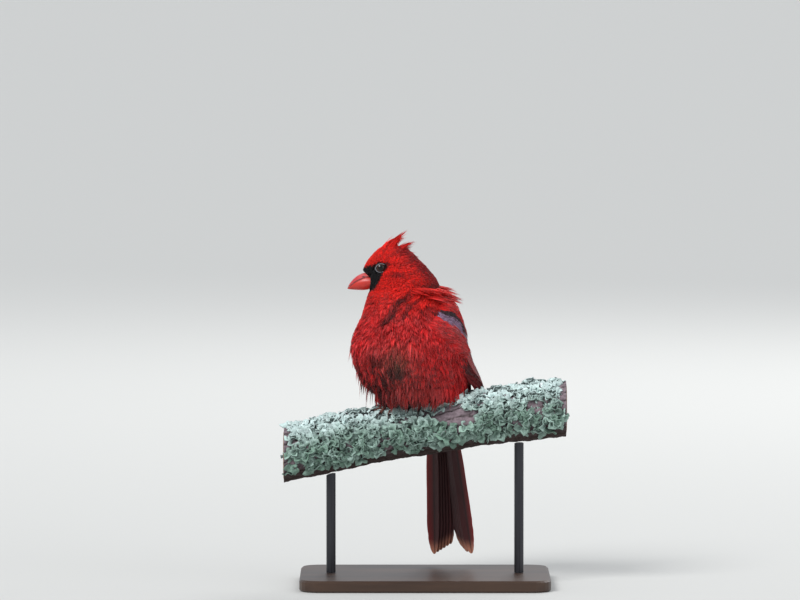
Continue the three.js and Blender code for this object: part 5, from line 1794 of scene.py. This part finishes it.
def grained_finish(name, grain, stops, depth, **shader_values):
    """A plain finish whose colour runs between two stops. grain: scale, detail and stretch of the noise."""
    material = finish(name, **shader_values)
    tree = material.node_tree
    value = noise(tree, *grain)
    ramp = add_node(tree, "ShaderNodeValToRGB", {"Fac": value})
    for element, (position, colour) in zip(ramp.color_ramp.elements, stops):
        element.position = position
        element.color = (*linear(colour), 1)
    to_shader(tree, "Base Color", ramp.outputs["Color"])
    if depth > 0:
        bump(tree, value, depth, 0.4)
    return material


plumage_soft = marked_finish(
    "soft plumage", 900, 2, 0.88, 1.12, 0.0001, roughness=0.6, specular=0.22, sheen=0.08,
)
under_coat = marked_finish("skin under the coat", 700, 2, 0.8, 1.1, 0.0002, roughness=0.8, specular=0.1)
vane_finish = barbed_finish()
bill_horn = marked_finish(
    "waxy coral horn", 260, 4, 0.9, 1.08, 0.00008, roughness=0.36, specular=0.5, under=0.08,
)
eye_wet = marked_finish("wet dark eye", 300, 1, 0.95, 1.05, 0.0, roughness=0.06, specular=0.3, coat=0.05)
lid_skin = marked_finish("lid skin", 1500, 2, 0.85, 1.15, 0.00008, roughness=0.55)
leg_scutes = marked_finish("leg scutes", 800, 2, 0.88, 1.1, 0.00005, roughness=0.45)
claw_horn = marked_finish("claw horn", 500, 2, 0.9, 1.1, 0.0, roughness=0.28)
bark_finish = marked_finish("old bark", 420, 6, 0.62, 1.3, 0.0006, roughness=0.9, specular=0.2)
lichen_finish = marked_finish("powdery lichen", 900, 4, 0.8, 1.15, 0.0002, roughness=0.92, specular=0.15)
stand_wood = grained_finish(
    "dark satin wood", (70, 6, (0.12, 1, 1)), [(0.32, [38, 26, 20]), (0.7, [74, 52, 38])], 0.0001,
    roughness=0.38, specular=0.45,
)
stand_metal = grained_finish(
    "blackened steel", (500, 2, (1, 1, 0.05)), [(0.0, [52, 52, 56]), (1.0, [78, 78, 82])], 0.0,
    roughness=0.34, metallic=1.0,
)
print("materials with the finishes:", len(bpy.data.materials))

# %% [markdown]
# The scatter tree has named inputs for how dense the lobes stand, how large they are, the seed, the
# shapes and the finish. The density is also multiplied by an attribute of the bark, so the worn spot
# under the feet, the bare bark at the front and the underside stay free.

# %% The scatter tree
SCATTER_INPUTS = {
    "Geometry": "Geometry", "Density": "Float", "Where": "String", "Smallest": "Float", "Largest": "Float",
    "Seed": "Int", "Shapes": "Collection", "Finish": "Material",
}
LEAST_TURN = (0.05, -0.25, 0)
MOST_TURN = (0.55, 0.25, 6.283)


def scattered_lobes(tree, given):
    """Instances of the lobe shapes on the surface, each turned round, leant and scaled at random."""
    where = add_node(tree, "GeometryNodeInputNamedAttribute", {"Name": given["Where"]}, data_type="FLOAT")
    factors = {0: given["Density"], 1: where.outputs["Attribute"]}
    density = add_node(tree, "ShaderNodeMath", factors, operation="MULTIPLY").outputs["Value"]
    inputs = {"Mesh": given["Geometry"], "Density": density, "Seed": given["Seed"]}
    points = add_node(tree, "GeometryNodeDistributePointsOnFaces", inputs).outputs
    inputs = {"Separate Children": True, "Reset Children": True, "Collection": given["Shapes"]}
    shapes = add_node(tree, "GeometryNodeCollectionInfo", inputs).outputs["Instances"]
    inputs = {"Min": LEAST_TURN, "Max": MOST_TURN, "Seed": given["Seed"]}
    twist = add_node(tree, "FunctionNodeRandomValue", inputs, data_type="FLOAT_VECTOR").outputs["Value"]
    turns = add_node(tree, "ShaderNodeSeparateXYZ", {"Vector": twist}).outputs
    spin = add_node(tree, "ShaderNodeCombineXYZ", {"Z": turns["Z"]}).outputs["Vector"]
    lean = add_node(tree, "ShaderNodeCombineXYZ", {"X": turns["X"], "Y": turns["Y"]}).outputs["Vector"]
    rotation = points["Rotation"]
    for by in (spin, lean):
        inputs = {"Rotation": rotation, "Rotate By": by}
        turn = add_node(tree, "FunctionNodeRotateRotation", inputs, rotation_space="LOCAL")
        rotation = turn.outputs["Rotation"]
    inputs = {2: given["Smallest"], 3: given["Largest"], "Seed": given["Seed"]}
    size = add_node(tree, "FunctionNodeRandomValue", inputs, data_type="FLOAT").outputs[1]
    inputs = {
        "Points": points["Points"], "Pick Instance": True, "Instance": shapes, "Rotation": rotation,
        "Scale": size,
    }
    return add_node(tree, "GeometryNodeInstanceOnPoints", inputs).outputs["Instances"]


def scatter_tree():
    tree = bpy.data.node_groups.new("lobes over a surface", "GeometryNodeTree")
    for name, kind in SCATTER_INPUTS.items():
        tree.interface.new_socket(name, in_out="INPUT", socket_type="NodeSocket" + kind)
    tree.interface.new_socket("Geometry", in_out="OUTPUT", socket_type="NodeSocketGeometry")
    given = add_node(tree, "NodeGroupInput").outputs
    lobes = scattered_lobes(tree, given)
    real = add_node(tree, "GeometryNodeRealizeInstances", {"Geometry": lobes}).outputs["Geometry"]
    painted = add_node(tree, "GeometryNodeSetMaterial", {"Geometry": real, "Material": given["Finish"]})
    add_node(tree, "NodeGroupOutput", {"Geometry": painted.outputs["Geometry"]})
    return tree


lobes_over_surface = scatter_tree()
print("nodes in the scatter tree:", len(lobes_over_surface.nodes))


# %% Lichen
LICHEN_DENSITY = 200000.0
LICHEN = {
    "lichen_on_the_left": {"Seed": 5, "Smallest": 1.1, "Largest": 2.1},
    "lichen_on_the_right": {"Seed": 6, "Smallest": 1.1, "Largest": 2.1},
    "lichen_down_the_front": {"Seed": 7, "Smallest": 1.2, "Largest": 2.3},
}
LICHEN_PALE = linear([190, 208, 206])
LICHEN_DEEP = linear([102, 131, 114])
END_FACES_WITHIN = 14


def lichen_share(title, x, angle):
    free = np.exp(-(((x - 19) / 15) ** 2) - ((angle - 1.14) / 0.36) ** 2)
    worn = np.exp(-(((x + 6) / 14) ** 2) - ((angle + 0.36) / 0.38) ** 2)
    clumps = 0.65 + 0.35 * np.sin(x * 0.21 + 2 * np.sin(angle * 2.3)) * np.sin(angle * 3.1 + x * 0.13)
    share = clumps * (1 - np.clip(1.9 * free, 0, 1)) * (1 - np.clip(1.6 * worn, 0, 1))
    inner = rise(-np.abs(x), -94, -90)
    if title == "lichen_down_the_front":
        return share * inner * rise(angle, 0.55, 0.85) * rise(-angle, -2.4, -1.9) * 1.1
    half = rise(-x, 6, 7) if title == "lichen_on_the_left" else rise(x, -7, -6)
    return share * inner * half * rise(angle, -1.9, -1.3) * rise(-angle, -0.95, -0.6)


def round_the_branch(mesh):
    """x, the angle from the top towards the camera, and the distance from the branch's middle line."""
    co = np.zeros(len(mesh.vertices) * 3)
    mesh.vertices.foreach_get("co", co)
    p = co.reshape(-1, 3) / MM
    above = p[:, 2] - branch_middle(p[:, 0])
    return p[:, 0], np.arctan2(-p[:, 1], above), np.hypot(p[:, 1], above)


def scatter_lichen(title, values):
    """Scatters lobes over a copy of the bark and keeps the result as a plain mesh."""
    emitter = bark.copy()
    emitter.data = bark.data.copy()
    emitter.data.materials.clear()
    bpy.context.scene.collection.objects.link(emitter)
    x, angle, distance = round_the_branch(emitter.data)
    where = lichen_share(title, x, angle) * (distance > END_FACES_WITHIN)
    share = emitter.data.attributes.new("share", "FLOAT", "POINT")
    share.data.foreach_set("value", where.astype(np.float32))
    modifier = emitter.modifiers.new("lobes", "NODES")
    modifier.node_group = lobes_over_surface
    given = {"Density": LICHEN_DENSITY, "Where": "share", "Shapes": lobe_shapes, "Finish": lichen_finish}
    given.update(values)
    for item in lobes_over_surface.interface.items_tree:
        if item.in_out == "INPUT" and item.name in given:
            modifier[item.identifier] = given[item.name]
    graph = bpy.context.evaluated_depsgraph_get()
    mesh = bpy.data.meshes.new_from_object(emitter.evaluated_get(graph))
    mesh.name = title
    piece = bpy.data.objects.new(title, mesh)
    bpy.context.scene.collection.objects.link(piece)
    bpy.data.objects.remove(emitter)
    return piece


def tint_lichen(piece, seed):
    """Pale blue-green lobes above, darker and greener ones down the front, each a little different."""
    random = np.random.default_rng(seed)
    mesh = piece.data
    count = len(mesh.vertices)
    lobes = count // LOBE_POINTS + 1
    angle = round_the_branch(mesh)[1]
    layer = mesh.color_attributes["MarkingsAndPaintedLight"]
    rgba = np.zeros(count * 4)
    layer.data.foreach_get("color", rgba)
    shade = rgba.reshape(-1, 4)[:, :1]
    tone = np.repeat(random.uniform(-0.25, 0.35, lobes), LOBE_POINTS)[:count]
    light = np.exp(np.repeat(random.normal(0, 0.16, lobes), LOBE_POINTS)[:count])
    deeper = rise(angle, 0.5, 1.5) * 0.75 + tone * 0.5
    colour = blend_colour(np.tile(LICHEN_PALE, (count, 1)), LICHEN_DEEP, deeper) * light[:, None]
    # The lobes' painted light and shade darken and lighten the colour here.
    out = np.concatenate([np.clip(colour * shade, 0, 1), np.ones((count, 1))], 1)
    layer.data.foreach_set("color", out.astype(np.float32).ravel())


lichen = []
for title, values in LICHEN.items():
    piece = scatter_lichen(title, values)
    tint_lichen(piece, values["Seed"])
    lichen.append(piece)
tell(*lichen)
for shape in list(lobe_shapes.objects):
    bpy.data.objects.remove(shape)
bpy.data.collections.remove(lobe_shapes)

# %% [markdown]
# Each piece now gets its finish, and the plain solids of the nodes that it stands for are hidden. One skin
# stands for the head, neck and trunk. Base and rods keep their imported shape and only take a finish.

# %% Finishes and what each piece replaces
def dress(piece, material, slot, *nodes):
    piece.data.materials.clear()
    piece.data.materials.append(material)
    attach(piece, "root")
    if nodes:
        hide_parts(*nodes)


dress(skin, under_coat, "feathers_red", "head", "neck", "torso")
for piece in coat:
    dress(piece, plumage_soft, "feathers_red")
dress(wings[0], vane_finish, "feathers_wing", "wing_left")
dress(wings[1], vane_finish, "feathers_wing", "wing_right")
dress(tail, vane_finish, "feathers_tail", "tail")
dress(rump, under_coat, "feathers_red")
dress(bill_upper, bill_horn, "bill", "bill_upper")
dress(bill_lower, bill_horn, "bill", "bill_lower")
for title in ("left", "right"):
    dress(eyes[title], eye_wet, "eye", "eye_" + title)
    dress(lids[title], lid_skin, "feathers_red")
    leg, toes, claws = legs[title]
    dress(leg, leg_scutes, "leg", "leg_" + title)
    dress(toes, leg_scutes, "leg", "foot_" + title)
    dress(claws, claw_horn, "leg")
dress(bark, bark_finish, "bark", "perch_branch")
for piece in lichen:
    dress(piece, lichen_finish, "bark")
STAND_FINISHES = {"stand_base": stand_wood, "stand_rod_left": stand_metal, "stand_rod_right": stand_metal}
for name, material in STAND_FINISHES.items():
    node = frame["nodes"][name]
    node.data.materials.clear()
    node.data.materials.append(material)
shown = [thing for thing in bpy.context.scene.objects if thing.type == "MESH" and not thing.hide_render]
print("triangles in all:", sum(triangles_of(thing) for thing in shown))

# %% [markdown]
# The photograph was taken from far away with a long lens, level with the bird. The camera here faces the bird
# from the same side with the same long lens, but a few degrees above level, so that the pale floor fills the
# frame behind the bird. Its frame is as wide as the photograph's at the bird's size.

# %% Camera
PIXEL = 0.68 * MM
PHOTO_WIDTH = 800
SENSOR = 36.0
MIDDLE_OF_FRAME = (-17 * MM, 0.0, 194.2 * MM)
CAMERA_DISTANCE = 4.5
CAMERA_RISE = math.radians(3.2)
camera_data = bpy.data.cameras.new("camera")
camera_data.sensor_width = SENSOR
camera_data.lens = SENSOR * CAMERA_DISTANCE / (PHOTO_WIDTH * PIXEL)
camera_data.clip_end = 200
camera = bpy.data.objects.new("camera", camera_data)
camera.location = (
    MIDDLE_OF_FRAME[0],
    MIDDLE_OF_FRAME[1] - CAMERA_DISTANCE * math.cos(CAMERA_RISE),
    MIDDLE_OF_FRAME[2] + CAMERA_DISTANCE * math.sin(CAMERA_RISE),
)
camera.rotation_euler = (math.pi / 2 - CAMERA_RISE, 0, 0)
bpy.context.scene.collection.objects.link(camera)
bpy.context.scene.camera = camera
print("camera at", [round(v, 3) for v in camera.location], "lens", round(camera_data.lens, 1))

# %% [markdown]
# The pale floor runs so far back that its edge never shows. A soft sun from the front left shapes the coat,
# a wide lamp fills its shadows, and a second one behind the bird lights the edges of its feathers.

# %% Floor and lights
FLOOR_REACH = 40.0
FLOOR_TURNS = ((-1, -1), (1, -1), (1, 1), (-1, 1))
floor_mesh = bpy.data.meshes.new("pale_floor")
floor_corners = [(x * FLOOR_REACH, y * FLOOR_REACH, 0) for x, y in FLOOR_TURNS]
floor_mesh.from_pydata(floor_corners, [], [(0, 1, 2, 3)])
floor = bpy.data.objects.new("pale_floor", floor_mesh)
bpy.context.scene.collection.objects.link(floor)
floor_finish = finish("pale_floor", roughness=0.8, specular=0.1)
floor_shader = floor_finish.node_tree.nodes["Principled BSDF"]
floor_shader.inputs["Base Color"].default_value = (0.62, 0.62, 0.6, 1)
floor_mesh.materials.append(floor_finish)
floor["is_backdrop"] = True

# A title, the kind of light, its place, its size or the sun's angle, and its strength.
LIGHTS = [
    ("key", "SUN", (-1.7, -2.4, 2.6), 0.45, 2.3),
    ("fill", "AREA", (2.4, -1.8, 1.3), 2.0, 14.0),
    ("back", "AREA", (0.9, 2.2, 1.9), 1.4, 26.0),
]
LIT_POINT = np.array([0, 0, 0.17])
for title, kind, place, size, power in LIGHTS:
    light = bpy.data.lights.new(title, kind)
    setattr(light, "angle" if kind == "SUN" else "size", size)
    light.energy = power
    lamp = bpy.data.objects.new(title, light)
    lamp.location = place
    aim = LIT_POINT - np.array(place)
    yaw = math.atan2(aim[1], aim[0]) - math.pi / 2
    pitch = math.acos(-aim[2] / np.linalg.norm(aim))
    lamp.rotation_euler = (pitch, 0, yaw)
    bpy.context.scene.collection.objects.link(lamp)

world = bpy.data.worlds.new("soft studio")
world.use_nodes = True
world.node_tree.nodes["Background"].inputs["Color"].default_value = (0.9, 0.94, 1.0, 1)
world.node_tree.nodes["Background"].inputs["Strength"].default_value = 0.6
bpy.context.scene.world = world
bpy.context.scene.view_settings.view_transform = "Standard"
print("lights:", [row[0] for row in LIGHTS])

# %% [markdown]
# At the end the box of the visible model is set beside the box of the imported solids, and both are printed.
# The visible coat and lobes may reach a few millimetres past the solids, and no more.

# %% Sizes and the end
model_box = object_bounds()
sizes = {
    "packed": [[float(v) for v in corner] for corner in cad_box],
    "visible": [[float(v) for v in corner] for corner in model_box],
}
for name, corners in sizes.items():
    print(name, "box in mm:", [[round(v / MM, 1) for v in corner] for corner in corners])
